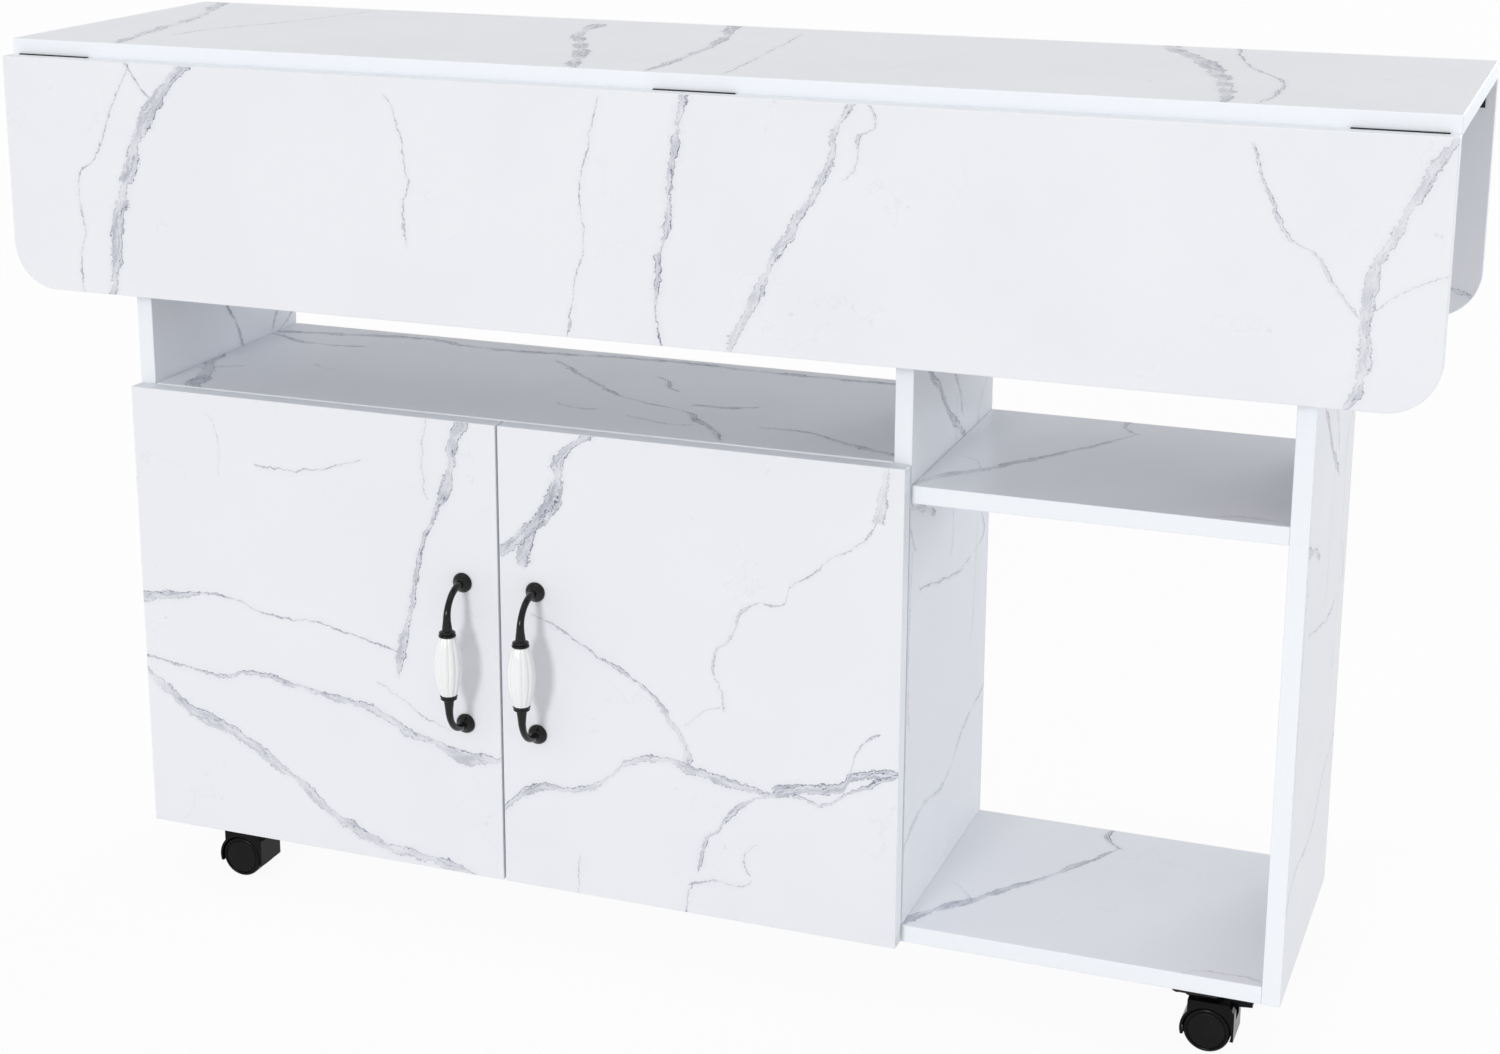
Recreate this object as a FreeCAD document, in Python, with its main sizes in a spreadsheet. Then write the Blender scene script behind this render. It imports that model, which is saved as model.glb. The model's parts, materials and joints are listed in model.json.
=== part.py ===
import FreeCAD, Part

import math
import os
import Sketcher

# Room service table on casters, in millimetres.
# Frame: origin on the floor under the middle of the table, +X towards the open
# right-hand bay, -Y towards the doors, +Z up.

Vector = FreeCAD.Vector
Rotation = FreeCAD.Rotation
Placement = FreeCAD.Placement

DRIVING_SIZES = [
    # boards of the carcass
    ("board_thickness", 15.0),
    ("top_length", 1200.0),
    ("top_depth", 307.0),
    ("total_height", 768.0),
    ("body_length", 1020.0),
    ("body_depth", 247.0),
    ("left_bay_width", 680.0),
    ("cabinet_shelf_height", 465.0),
    ("right_shelf_height", 447.0),
    ("inner_shelf_height", 267.0),
    ("inner_shelf_depth", 215.0),
    ("back_panel_thickness", 3.0),
    ("back_panel_inset", 3.0),
    ("shelf_clearance", 0.5),
    # drop leaves and their butt hinges
    ("leaf_width", 201.0),
    ("leaf_corner_radius", 40.0),
    ("leaf_gap", 0.9),
    ("pin_out", 2.0),
    ("pin_rise", 0.5),
    ("hinge_length", 68.0),
    ("hinge_end_inset", 42.0),
    ("middle_hinge_offset", 28.0),
    ("hinge_plate_thickness", 1.2),
    ("hinge_plate_width", 24.0),
    ("knuckle_radius", 2.0),
    ("knuckle_relief", 0.4),
    ("knuckle_gap", 0.2),
    ("hinge_pin_radius", 1.0),
    ("pin_clearance", 0.05),
    # folding leaf supports
    ("support_drop", 60.0),
    ("strut_length", 110.0),
    ("strut_width", 12.0),
    ("strut_thickness", 3.0),
    ("slider_offset", 8.0),
    ("bracket_thickness", 2.0),
    ("bracket_width", 55.0),
    ("bracket_height", 100.0),
    ("bracket_inset", 6.0),
    ("bracket_ear_clearance", 1.0),
    ("bracket_strut_gap", 1.5),
    ("support_pin_radius", 3.0),
    ("support_head_radius", 4.6),
    ("support_head_height", 1.2),
    ("support_stud_slack", 0.2),
    ("track_length", 100.0),
    ("track_start", 80.0),
    ("track_thickness", 2.0),
    ("track_base_width", 16.0),
    ("track_base_thickness", 1.5),
    ("track_height", 16.0),
    ("track_slot_margin", 6.0),
    ("track_slot_width", 6.4),
    ("track_strut_gap", 0.5),
    # doors and concealed hinges
    ("door_gap", 2.0),
    ("door_split_gap", 2.0),
    ("door_bottom_reveal", 1.0),
    ("door_top_reveal", 0.5),
    ("door_side_reveal", 0.5),
    ("cup_from_edge", 22.5),
    ("cup_from_end", 80.0),
    ("cup_radius", 17.5),
    ("cup_depth", 11.5),
    ("cup_wall", 2.0),
    ("cup_floor", 1.5),
    ("cup_flange_radius", 19.5),
    ("hinge_arm_height", 16.0),
    ("hinge_arm_length", 72.0),
    ("hinge_arm_plate", 2.0),
    ("hinge_arm_depth", 12.0),
    ("hinge_arm_offset", 3.5),
    ("hinge_arm_reach", 8.5),
    ("hinge_arm_slope", 6.0),
    # door pulls
    ("pull_spacing", 128.0),
    ("pull_from_split", 34.0),
    ("pull_projection", 31.0),
    ("pull_bend_radius", 24.0),
    ("pull_arm_radius", 3.1),
    ("rosette_radius", 8.8),
    ("rosette_height", 5.5),
    ("rosette_rim", 1.4),
    ("collar_radius", 7.6),
    ("collar_ring_height", 2.3),
    ("collar_groove", 0.9),
    ("arm_flare_radius", 4.8),
    ("grip_half_length", 26.0),
    ("grip_end_radius", 7.2),
    ("grip_middle_radius", 12.4),
    ("grip_flute_depth", 1.1),
    ("grip_flute_count", 12.0),
    # casters
    ("caster_height", 52.0),
    ("caster_from_centre", 443.0),
    ("caster_from_middle", 104.0),
    ("caster_trail", 10.0),
    ("caster_plate_size", 38.0),
    ("caster_plate_thickness", 2.0),
    ("caster_plate_corner", 4.0),
    ("race_radius", 13.0),
    ("race_height", 3.5),
    ("swivel_gap", 0.5),
    ("swivel_disc_radius", 12.0),
    ("swivel_disc_height", 2.0),
    ("king_pin_radius", 3.0),
    ("king_pin_length", 16.0),
    ("wheel_radius", 19.0),
    ("wheel_width", 13.2),
    ("wheel_inner_face", 3.0),
    ("wheel_edge", 1.4),
    ("wheel_dish_radius", 13.5),
    ("wheel_dish_depth", 0.8),
    ("axle_radius", 2.5),
    ("hood_clearance", 0.6),
    ("hood_wall", 2.0),
    ("hood_width", 33.5),
    ("hood_web", 5.0),
    ("hood_skirt_drop", 6.0),
    ("hood_front_wall", 3.0),
    ("hood_slope_run", 5.0),
    ("hood_slope_drop", 7.0),
    ("lever_width", 14.0),
    ("lever_pivot_offset", 3.0),
    ("lever_pivot_height", 22.5),
    ("lever_slot_floor", 28.0),
    ("lever_slot_length", 30.0),
    ("lever_slot_start", 0.5),
    ("lever_trunnion_play", 0.3),
    ("lever_gap", 0.6),
    ("lever_trunnion_radius", 1.5),
    ("lever_trunnion_reach", 2.3),
    # hidden joinery
    ("dowel_radius", 4.0),
    ("dowel_length", 30.0),
    ("dowel_in_face", 10.0),
    ("dowel_row", 80.0),
    ("cam_radius", 7.5),
    ("cam_depth", 12.0),
    ("cam_from_end", 24.0),
    ("cam_row", 45.0),
    ("shelf_pin_radius", 2.5),
    ("shelf_pin_length", 18.0),
    ("shelf_pin_in_face", 10.0),
    ("shelf_pin_row", 70.0),
]

PLANE_INDEX = {"XY": 3, "XZ": 4, "YZ": 5}

document = FreeCAD.newDocument("RoomServiceTable")
sheet = document.addObject("Spreadsheet::Sheet", "Sizes")
for row, (alias, number) in enumerate(DRIVING_SIZES, start=1):
    cell = "A%d" % row
    sheet.set(cell, repr(number))
    sheet.setAlias(cell, alias)
document.recompute()

exported = []


def size(alias):
    """Value of one driving size, in millimetres."""
    return float(sheet.get(alias))


# ---------------------------------------------------------------- places
thickness = size("board_thickness")
half_length = size("body_length") / 2.0
half_depth = size("body_depth") / 2.0
floor_of_body = size("caster_height")
top_underside = size("total_height") - thickness
bottom_surface = floor_of_body + thickness
left_inner = -half_length + thickness
right_inner = half_length - thickness
divider_left = left_inner + size("left_bay_width")
divider_right = divider_left + thickness
cabinet_ceiling = size("cabinet_shelf_height") - thickness
right_shelf_underside = size("right_shelf_height") - thickness
inner_shelf_underside = size("inner_shelf_height") - thickness

pin_y = size("top_depth") / 2.0 + size("pin_out")
pin_z = top_underside + size("pin_rise")
leaf_back_y = pin_y - size("pin_rise")
leaf_top_z = pin_z + size("pin_out") - size("leaf_gap")
end_hinge_x = size("top_length") / 2.0 - size("hinge_end_inset")
hinge_places = (-end_hinge_x, size("middle_hinge_offset"), end_hinge_x)

support_y = leaf_back_y - size("slider_offset")
support_z = pin_z - size("support_drop")

door_back_y = -half_depth - size("door_gap")
door_front_y = door_back_y - thickness
door_bottom_z = floor_of_body + size("door_bottom_reveal")
door_top_z = size("cabinet_shelf_height") - size("door_top_reveal")
doors_left = -half_length + size("door_side_reveal")
doors_right = divider_right - size("door_side_reveal")
door_split = (-half_length + divider_right) / 2.0
cup_heights = (door_bottom_z + size("cup_from_end"), door_top_z - size("cup_from_end"))
pull_centre_z = (door_bottom_z + door_top_z) / 2.0


# ---------------------------------------------------------------- helpers
def new_body(label, placement=None, several_solids=False):
    """Empty body with its label and placement."""
    body = document.addObject("PartDesign::Body", label)
    body.Label = label
    body.AllowCompound = several_solids
    if placement is not None:
        body.Placement = placement
    return body


def new_sketch(body, plane, offset=0.0, shift=(0.0, 0.0)):
    """Sketch on one of the body's own planes, moved along its normal by offset."""
    sketch = body.newObject("Sketcher::SketchObject", body.Label + "_sketch")
    sketch.AttachmentSupport = [(body.Origin.OriginFeatures[PLANE_INDEX[plane]], "")]
    sketch.MapMode = "FlatFace"
    sketch.AttachmentOffset = Placement(Vector(shift[0], shift[1], offset), Rotation())
    return sketch


def add_outline(sketch, steps):
    """Closed outline. A step is an end point, or a (through, end) pair for an arc."""
    first = None
    for step in steps:
        if isinstance(step[0], tuple):
            end = step[1]
            curve = Part.Arc(
                Vector(here[0], here[1], 0),
                Vector(step[0][0], step[0][1], 0),
                Vector(end[0], end[1], 0),
            )
            sketch.addGeometry(curve)
        else:
            end = step
            if first is not None:
                line = Part.LineSegment(Vector(here[0], here[1], 0), Vector(end[0], end[1], 0))
                sketch.addGeometry(line)
        if first is None:
            first = end
        here = end
    if math.dist(here, first) > 1e-6:
        sketch.addGeometry(
            Part.LineSegment(Vector(here[0], here[1], 0), Vector(first[0], first[1], 0))
        )


def add_circle(sketch, centre, radius):
    """Full circle in a sketch."""
    sketch.addGeometry(Part.Circle(Vector(centre[0], centre[1], 0), Vector(0, 0, 1), radius))


def add_bound_rectangle(sketch, width, height):
    """Rectangle from the sketch origin, its sides bound to expressions on the sheet."""
    corners = [Vector(0, 0, 0), Vector(10, 0, 0), Vector(10, 10, 0), Vector(0, 10, 0)]
    for index in range(4):
        sketch.addGeometry(Part.LineSegment(corners[index], corners[(index + 1) % 4]))
    for index in range(4):
        following = (index + 1) % 4
        sketch.addConstraint(Sketcher.Constraint("Coincident", index, 2, following, 1))
    for index, kind in enumerate(("Horizontal", "Vertical", "Horizontal", "Vertical")):
        sketch.addConstraint(Sketcher.Constraint(kind, index))
    sketch.addConstraint(Sketcher.Constraint("Coincident", 0, 1, -1, 1))
    across = sketch.addConstraint(Sketcher.Constraint("DistanceX", 0, 1, 0, 2, 10.0))
    upward = sketch.addConstraint(Sketcher.Constraint("DistanceY", 1, 1, 1, 2, 10.0))
    sketch.renameConstraint(across, "across")
    sketch.renameConstraint(upward, "upward")
    sketch.setExpression("Constraints.across", width)
    sketch.setExpression("Constraints.upward", height)


def pad(body, sketch, length, symmetric=False):
    """Pad along the sketch normal. The length is a number or a sheet expression."""
    feature = body.newObject("PartDesign::Pad", body.Label + "_pad")
    feature.Profile = sketch
    feature.SideType = "Symmetric" if symmetric else "One side"
    if isinstance(length, str):
        feature.setExpression("Length", length)
    else:
        feature.Length = length
    sketch.Visibility = False
    return feature


def pocket(body, sketch, length):
    """Pocket that cuts half its length to each side of the sketch plane."""
    feature = body.newObject("PartDesign::Pocket", body.Label + "_pocket")
    feature.Profile = sketch
    feature.SideType = "Symmetric"
    feature.Length = length
    sketch.Visibility = False
    return feature


def revolve(body, sketch, axis_name, angle=360.0):
    """Turn of a sketch about one of its own axes, a full turn if no angle is given."""
    feature = body.newObject("PartDesign::Revolution", body.Label + "_revolution")
    feature.Profile = sketch
    feature.ReferenceAxis = (sketch, [axis_name])
    feature.Angle = angle
    sketch.Visibility = False
    return feature


def export(item):
    """Remember a finished sub-part for the checks and the STEP files."""
    exported.append(item)
    return item


def make_group(label, pattern, placements):
    """Several identical small pieces that share one node."""
    document.recompute()
    copies = []
    for place in placements:
        copy = pattern.Shape.copy()
        copy.Placement = place
        copies.append(copy)
    group = document.addObject("Part::Feature", label)
    group.Label = label
    group.Shape = Part.makeCompound(copies)
    return export(group)


def make_board(label, corner, across_x, across_y, across_z):
    """Rectangular board from its low corner, with its three sides as expressions."""
    body = new_body(label, Placement(Vector(*corner), Rotation()))
    sketch = new_sketch(body, "XY")
    add_bound_rectangle(sketch, across_x, across_y)
    pad(body, sketch, across_z)
    return export(body)


def drill(board, direction, centres, radius, depth):
    """Round holes at points of the table's frame, depth to each side of the face."""
    plane = {"X": "YZ", "Y": "XZ", "Z": "XY"}[direction]
    faces = {}
    for centre in centres:
        local = Vector(*centre) - board.Placement.Base
        if direction == "X":
            offset, flat = local.x, (local.y, local.z)
        elif direction == "Y":
            offset, flat = -local.y, (local.x, local.z)
        else:
            offset, flat = local.z, (local.x, local.y)
        faces.setdefault(round(offset, 4), []).append(flat)
    for offset, flats in faces.items():
        sketch = new_sketch(board, plane, offset)
        for flat in flats:
            add_circle(sketch, flat, radius)
        pocket(board, sketch, 2.0 * depth)


# ---------------------------------------------------------------- joinery
def shelf_joint(x_face, inward, underside):
    """Dowel and cam places where a level board meets an upright at x_face."""
    middle = underside + thickness / 2.0
    dowels = [(x_face, y, middle) for y in (-size("dowel_row"), size("dowel_row"))]
    cam_x = x_face + inward * size("cam_from_end")
    cams = [(cam_x, y, underside) for y in (-size("cam_row"), size("cam_row"))]
    return dowels, cams


def upright_joint(x_left, level):
    """Dowel places where an upright board that starts at x_left meets a level face."""
    middle = x_left + thickness / 2.0
    return [(middle, y, level) for y in (-size("dowel_row"), size("dowel_row"))]


LEVEL_JOINTS = {
    "bottom_left": shelf_joint(left_inner, 1, floor_of_body),
    "bottom_right": shelf_joint(right_inner, -1, floor_of_body),
    "cabinet_left": shelf_joint(left_inner, 1, cabinet_ceiling),
    "cabinet_right": shelf_joint(divider_left, -1, cabinet_ceiling),
    "bay_left": shelf_joint(divider_right, 1, right_shelf_underside),
    "bay_right": shelf_joint(right_inner, -1, right_shelf_underside),
}
UPRIGHT_JOINTS = {
    "left": upright_joint(-half_length, top_underside),
    "divider": upright_joint(divider_left, top_underside),
    "right": upright_joint(right_inner, top_underside),
    "divider_foot": upright_joint(divider_left, bottom_surface),
}
UPRIGHT_CAM_FACES = {"left": left_inner, "divider": divider_right, "right": right_inner}


def upright_cams(name):
    """Cam places near the top of an upright, on the face that looks into a bay."""
    level = top_underside - size("cam_from_end")
    return [(UPRIGHT_CAM_FACES[name], y, level) for y in (-size("cam_row"), size("cam_row"))]


def shelf_pin_places():
    """Centres of the pins under the inner shelf, on the cabinet's side faces."""
    level = inner_shelf_underside - size("shelf_pin_radius")
    rows = (-size("shelf_pin_row"), size("shelf_pin_row"))
    return [(x, y, level) for x in (left_inner, divider_left) for y in rows]


def fit_level_board(board, joint_names):
    """Dowel holes in the ends of a level board and cam pockets under it."""
    for name in joint_names:
        dowels, cams = LEVEL_JOINTS[name]
        drill(board, "X", dowels, size("dowel_radius"), size("dowel_length") - size("dowel_in_face"))
        drill(board, "Z", cams, size("cam_radius"), size("cam_depth"))


def fit_upright(board, face_joints, top_joint, foot_joint=None):
    """Dowel holes in the faces and ends of an upright board, and its cam pockets."""
    for name in face_joints:
        drill(board, "X", LEVEL_JOINTS[name][0], size("dowel_radius"), size("dowel_in_face"))
    end_depth = size("dowel_length") - size("dowel_in_face")
    drill(board, "Z", UPRIGHT_JOINTS[top_joint], size("dowel_radius"), end_depth)
    drill(board, "X", upright_cams(top_joint), size("cam_radius"), size("cam_depth"))
    if foot_joint is not None:
        drill(board, "Z", UPRIGHT_JOINTS[foot_joint], size("dowel_radius"), end_depth)


def make_dowels():
    """All wood dowels, one node."""
    pattern = new_body("dowel_pattern")
    sketch = new_sketch(pattern, "XY")
    add_circle(sketch, (0, 0), size("dowel_radius"))
    pad(pattern, sketch, "Sizes.dowel_length")
    lying = {1: Rotation(Vector(0, 1, 0), 90), -1: Rotation(Vector(0, 1, 0), -90)}
    places = []
    for name, (dowels, cams) in LEVEL_JOINTS.items():
        inward = 1 if cams[0][0] > dowels[0][0] else -1
        for dowel in dowels:
            start = Vector(dowel[0] - inward * size("dowel_in_face"), dowel[1], dowel[2])
            places.append(Placement(start, lying[inward]))
    for name, dowels in UPRIGHT_JOINTS.items():
        in_level_board = size("dowel_in_face")
        depth = in_level_board if name == "divider_foot" else size("dowel_length") - in_level_board
        for dowel in dowels:
            places.append(Placement(Vector(dowel[0], dowel[1], dowel[2] - depth), Rotation()))
    make_group("wood_dowels", pattern, places)


def make_cam_locks():
    """All cam locks, flush in their pockets, one node."""
    pattern = new_body("cam_pattern")
    sketch = new_sketch(pattern, "XY")
    add_circle(sketch, (0, 0), size("cam_radius"))
    pad(pattern, sketch, "Sizes.cam_depth")
    places = []
    for dowels, cams in LEVEL_JOINTS.values():
        places += [Placement(Vector(*cam), Rotation()) for cam in cams]
    for name in UPRIGHT_CAM_FACES:
        turn = 90 if name == "right" else -90
        rotation = Rotation(Vector(0, 1, 0), turn)
        places += [Placement(Vector(*cam), rotation) for cam in upright_cams(name)]
    make_group("cam_locks", pattern, places)


def make_shelf_pins():
    """The four pins under the inner shelf, one node."""
    pattern = new_body("shelf_pin_pattern")
    sketch = new_sketch(pattern, "YZ", -size("shelf_pin_in_face"))
    add_circle(sketch, (0, 0), size("shelf_pin_radius"))
    pad(pattern, sketch, "Sizes.shelf_pin_length")
    places = []
    for x, y, z in shelf_pin_places():
        turn = 0 if x == left_inner else 180
        places.append(Placement(Vector(x, y, z), Rotation(Vector(0, 0, 1), turn)))
    make_group("shelf_pins", pattern, places)


# ---------------------------------------------------------------- carcass
def make_carcass():
    """Boards that stay fixed together, with their dowel, cam and pin holes."""
    upright = "Sizes.total_height - Sizes.caster_height - Sizes.board_thickness"
    deep = "Sizes.body_depth"
    board = "Sizes.board_thickness"

    left = make_board(
        "left_side_panel", (-half_length, -half_depth, floor_of_body), board, deep, upright
    )
    fit_upright(left, ("bottom_left", "cabinet_left"), "left")

    right = make_board(
        "right_side_panel", (right_inner, -half_depth, floor_of_body), board, deep, upright
    )
    fit_upright(right, ("bottom_right", "bay_right"), "right")

    divider = make_board(
        "divider_panel",
        (divider_left, -half_depth, bottom_surface),
        board,
        deep,
        upright + " - Sizes.board_thickness",
    )
    fit_upright(divider, ("bay_left",), "divider", "divider_foot")
    cabinet_dowels = LEVEL_JOINTS["cabinet_right"][0]
    drill(divider, "X", cabinet_dowels, size("dowel_radius"), size("dowel_in_face"))

    bottom = make_board(
        "bottom_panel",
        (left_inner, -half_depth, floor_of_body),
        "Sizes.body_length - 2 * Sizes.board_thickness",
        deep,
        board,
    )
    fit_level_board(bottom, ("bottom_left", "bottom_right"))
    foot = UPRIGHT_JOINTS["divider_foot"]
    drill(bottom, "Z", foot, size("dowel_radius"), size("dowel_in_face"))

    over_cabinet = make_board(
        "cabinet_top_shelf",
        (left_inner, -half_depth, cabinet_ceiling),
        "Sizes.left_bay_width",
        deep,
        board,
    )
    fit_level_board(over_cabinet, ("cabinet_left", "cabinet_right"))

    in_bay = make_board(
        "right_bay_shelf",
        (divider_right, -half_depth, right_shelf_underside),
        "Sizes.body_length - Sizes.left_bay_width - 3 * Sizes.board_thickness",
        deep,
        board,
    )
    fit_level_board(in_bay, ("bay_left", "bay_right"))

    clearance = size("shelf_clearance")
    back_face = half_depth - size("back_panel_inset") - size("back_panel_thickness")
    make_board(
        "cabinet_inner_shelf",
        (
            left_inner + clearance,
            back_face - clearance - size("inner_shelf_depth"),
            inner_shelf_underside,
        ),
        "Sizes.left_bay_width - 2 * Sizes.shelf_clearance",
        "Sizes.inner_shelf_depth",
        board,
    )
    make_board(
        "cabinet_back_panel",
        (left_inner, back_face, bottom_surface),
        "Sizes.left_bay_width",
        "Sizes.back_panel_thickness",
        "Sizes.cabinet_shelf_height - Sizes.caster_height - 2 * Sizes.board_thickness",
    )
    for upright_board, x in ((left, left_inner), (divider, divider_left)):
        pins = [place for place in shelf_pin_places() if place[0] == x]
        drill(upright_board, "X", pins, size("shelf_pin_radius"), size("shelf_pin_in_face"))


def make_top():
    """Top board, relieved below its long edges for the hinge knuckles."""
    top = make_board(
        "top_panel",
        (-size("top_length") / 2.0, -size("top_depth") / 2.0, top_underside),
        "Sizes.top_length",
        "Sizes.top_depth",
        "Sizes.board_thickness",
    )
    for name in ("left", "divider", "right"):
        drill(top, "Z", UPRIGHT_JOINTS[name], size("dowel_radius"), size("dowel_in_face"))
    relieve_for_knuckles(top)


def relieve_for_knuckles(board):
    """Round relief along the pin line at each hinge, in the top or in a leaf."""
    radius = size("knuckle_radius") + size("knuckle_relief")
    half = size("hinge_length") / 2.0 + size("knuckle_relief")
    front = [(x, -pin_y, pin_z) for x in hinge_places]
    rear = [(-x, pin_y, pin_z) for x in hinge_places]
    if board.Label == "top_panel":
        drill(board, "X", front, radius, half)
        drill(board, "X", rear, radius, half)
    else:
        drill(board, "X", front, radius, half)


# ---------------------------------------------------------------- drop leaves
def half_turn(rear):
    """The rear of the table is its front turned half a turn about the Z axis."""
    return Rotation(Vector(0, 0, 1), 180 if rear else 0)


def make_leaf(label, rear):
    """Hanging leaf with two rounded lower corners."""
    leaf = new_body(label)
    half = size("top_length") / 2.0
    radius = size("leaf_corner_radius")
    bottom = leaf_top_z - size("leaf_width")
    inset = radius * (1.0 - math.sqrt(0.5))
    sketch = new_sketch(leaf, "XZ", leaf_back_y)
    add_outline(
        sketch,
        [
            (-half, leaf_top_z),
            (-half, bottom + radius),
            ((-half + inset, bottom + inset), (-half + radius, bottom)),
            (half - radius, bottom),
            ((half - inset, bottom + inset), (half, bottom + radius)),
            (half, leaf_top_z),
        ],
    )
    pad(leaf, sketch, "Sizes.board_thickness")
    relieve_for_knuckles(leaf)
    leaf.Placement = Placement(Vector(0, 0, 0), half_turn(rear))
    return export(leaf)


def knuckle_steps(count, first):
    """Middles of the knuckles that one plate owns along the pin."""
    step = size("hinge_length") / count
    start = -size("hinge_length") / 2.0 + step / 2.0
    return [start + step * index for index in range(first, count, 2)]


def make_hinge_plate(label, hanging, first_knuckle):
    """One plate of a butt hinge, with its share of the five knuckles.

    The pin runs along X through the origin. The top's plate lies towards +Y and
    the leaf's plate hangs towards -Z.
    """
    knuckles = 5
    plate = new_body(label)
    radius = size("knuckle_radius")
    start = radius + size("knuckle_relief")
    end = size("hinge_plate_width")
    high = -size("pin_rise")
    low = high - size("hinge_plate_thickness")
    high_meet = math.sqrt(radius ** 2 - high ** 2)
    low_meet = math.sqrt(radius ** 2 - low ** 2)

    def place(along, out):
        return (-out, -along) if hanging else (along, out)

    flat = new_sketch(plate, "YZ")
    add_outline(flat, [place(start, low), place(end, low), place(end, high), place(start, high)])
    pad(plate, flat, "Sizes.hinge_length", symmetric=True)
    for middle in knuckle_steps(knuckles, first_knuckle):
        curl = new_sketch(plate, "YZ", middle)
        add_outline(
            curl,
            [
                place(start, low),
                place(start, high),
                place(high_meet, high),
                (place(-radius, 0), place(low_meet, low)),
            ],
        )
        add_circle(curl, (0, 0), size("hinge_pin_radius") + size("pin_clearance"))
        pad(plate, curl, size("hinge_length") / knuckles - size("knuckle_gap"), symmetric=True)
    return plate


def make_hinges():
    """Butt hinges of both leaves: plates on the top, plates on the leaves, pins."""
    top_plate = make_hinge_plate("hinge_top_plate_pattern", False, 0)
    leaf_plate = make_hinge_plate("hinge_leaf_plate_pattern", True, 1)
    pin = new_body("hinge_pin_pattern")
    sketch = new_sketch(pin, "YZ")
    add_circle(sketch, (0, 0), size("hinge_pin_radius"))
    pad(pin, sketch, "Sizes.hinge_length", symmetric=True)

    front = [Placement(Vector(x, -pin_y, pin_z), half_turn(False)) for x in hinge_places]
    rear = [Placement(Vector(-x, pin_y, pin_z), half_turn(True)) for x in hinge_places]
    make_group("front_hinge_top_plates", top_plate, front)
    make_group("front_hinge_leaf_plates", leaf_plate, front)
    make_group("rear_hinge_top_plates", top_plate, rear)
    make_group("rear_hinge_leaf_plates", leaf_plate, rear)
    make_group("leaf_hinge_pins", pin, front + rear)


# ---------------------------------------------------------------- leaf supports
def support_placement(side, rear):
    """Pivot of a support on the inner face of an end panel."""
    face = right_inner if side > 0 else left_inner
    y = support_y if rear else -support_y
    return Placement(Vector(face, y, support_z), half_turn(rear))


def inward_sign(side, rear):
    """Direction along the support's own X that leads away from the end panel."""
    sign = -side
    return -sign if rear else sign


def make_bracket(label, side, rear):
    """Plate on the end panel with an ear in front of it and a riveted pivot pin."""
    sign = inward_sign(side, rear)
    plate = size("bracket_thickness")
    ear = size("slider_offset") - size("bracket_ear_clearance")
    front = support_y - half_depth + size("bracket_inset")
    back = front + size("bracket_width")
    half = size("bracket_height") / 2.0
    bracket = new_body(label, support_placement(side, rear))
    outline = new_sketch(bracket, "YZ", sign * plate / 2.0)
    add_outline(
        outline,
        [
            (0, ear),
            ((-ear, 0), (0, -ear)),
            (front, -half),
            (back, -half),
            (back, half),
            (front, half),
        ],
    )
    pad(bracket, outline, plate, symmetric=True)
    head = size("support_head_height")
    reach = plate + 2 * size("bracket_strut_gap") + size("strut_thickness") - head
    pin = new_sketch(bracket, "YZ", sign * (plate + reach) / 2.0)
    add_circle(pin, (0, 0), size("support_pin_radius"))
    pad(bracket, pin, reach - plate, symmetric=True)
    cap = new_sketch(bracket, "YZ", sign * (reach + head / 2.0))
    add_circle(cap, (0, 0), size("support_head_radius"))
    pad(bracket, cap, head, symmetric=True)
    return export(bracket)


def make_strut(label, side, rear):
    """Flat bar hanging from its pivot, with a stud at its lower end."""
    sign = inward_sign(side, rear)
    half = size("strut_width") / 2.0
    length = size("strut_length")
    near = size("bracket_thickness") + size("bracket_strut_gap")
    bar = size("strut_thickness")
    strut = new_body(label, support_placement(side, rear))
    outline = new_sketch(strut, "YZ", sign * (near + bar / 2.0))
    add_outline(
        outline,
        [
            (-half, 0),
            ((0, half), (half, 0)),
            (half, -length),
            ((0, -length - half), (-half, -length)),
        ],
    )
    add_circle(outline, (0, 0), size("support_pin_radius") + size("pin_clearance"))
    pad(strut, outline, bar, symmetric=True)
    stud_length = size("bracket_strut_gap") + size("support_stud_slack")
    stud = new_sketch(strut, "YZ", sign * (near + bar + stud_length / 2.0))
    add_circle(stud, (0, -length), size("support_pin_radius"))
    pad(strut, stud, stud_length, symmetric=True)
    return export(strut)


def make_tracks(label, rear):
    """Two angles under a leaf; the upright flange of each is slotted for a strut's stud."""
    clear = 2 * size("bracket_strut_gap") + size("bracket_thickness") + size("strut_thickness")
    near = right_inner - clear - size("track_strut_gap")
    leaf_face = -size("slider_offset")
    wall = size("track_thickness")
    base = size("track_base_thickness")
    high = leaf_face + size("track_height")
    wide = near - size("track_base_width")
    lower_end = size("support_drop") - size("track_start") - size("track_length")
    half = size("track_slot_width") / 2.0
    low = lower_end + size("track_slot_margin") + half
    top = lower_end + size("track_length") - size("track_slot_margin") - half
    middle = Vector(0, support_y if rear else -support_y, support_z)
    tracks = new_body(label, Placement(middle, half_turn(rear)), several_solids=True)
    for side in (-1, 1):
        profile = new_sketch(tracks, "XY", lower_end)
        add_outline(
            profile,
            [
                (side * near, leaf_face),
                (side * wide, leaf_face),
                (side * wide, leaf_face + base),
                (side * (near - wall), leaf_face + base),
                (side * (near - wall), high),
                (side * near, high),
            ],
        )
        pad(tracks, profile, "Sizes.track_length")
        slot = new_sketch(tracks, "YZ", side * (near - wall / 2.0))
        add_outline(
            slot,
            [
                (-half, low),
                ((0, low - half), (half, low)),
                (half, top),
                ((0, top + half), (-half, top)),
            ],
        )
        pocket(tracks, slot, wall * 2.0)
    return export(tracks)


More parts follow.
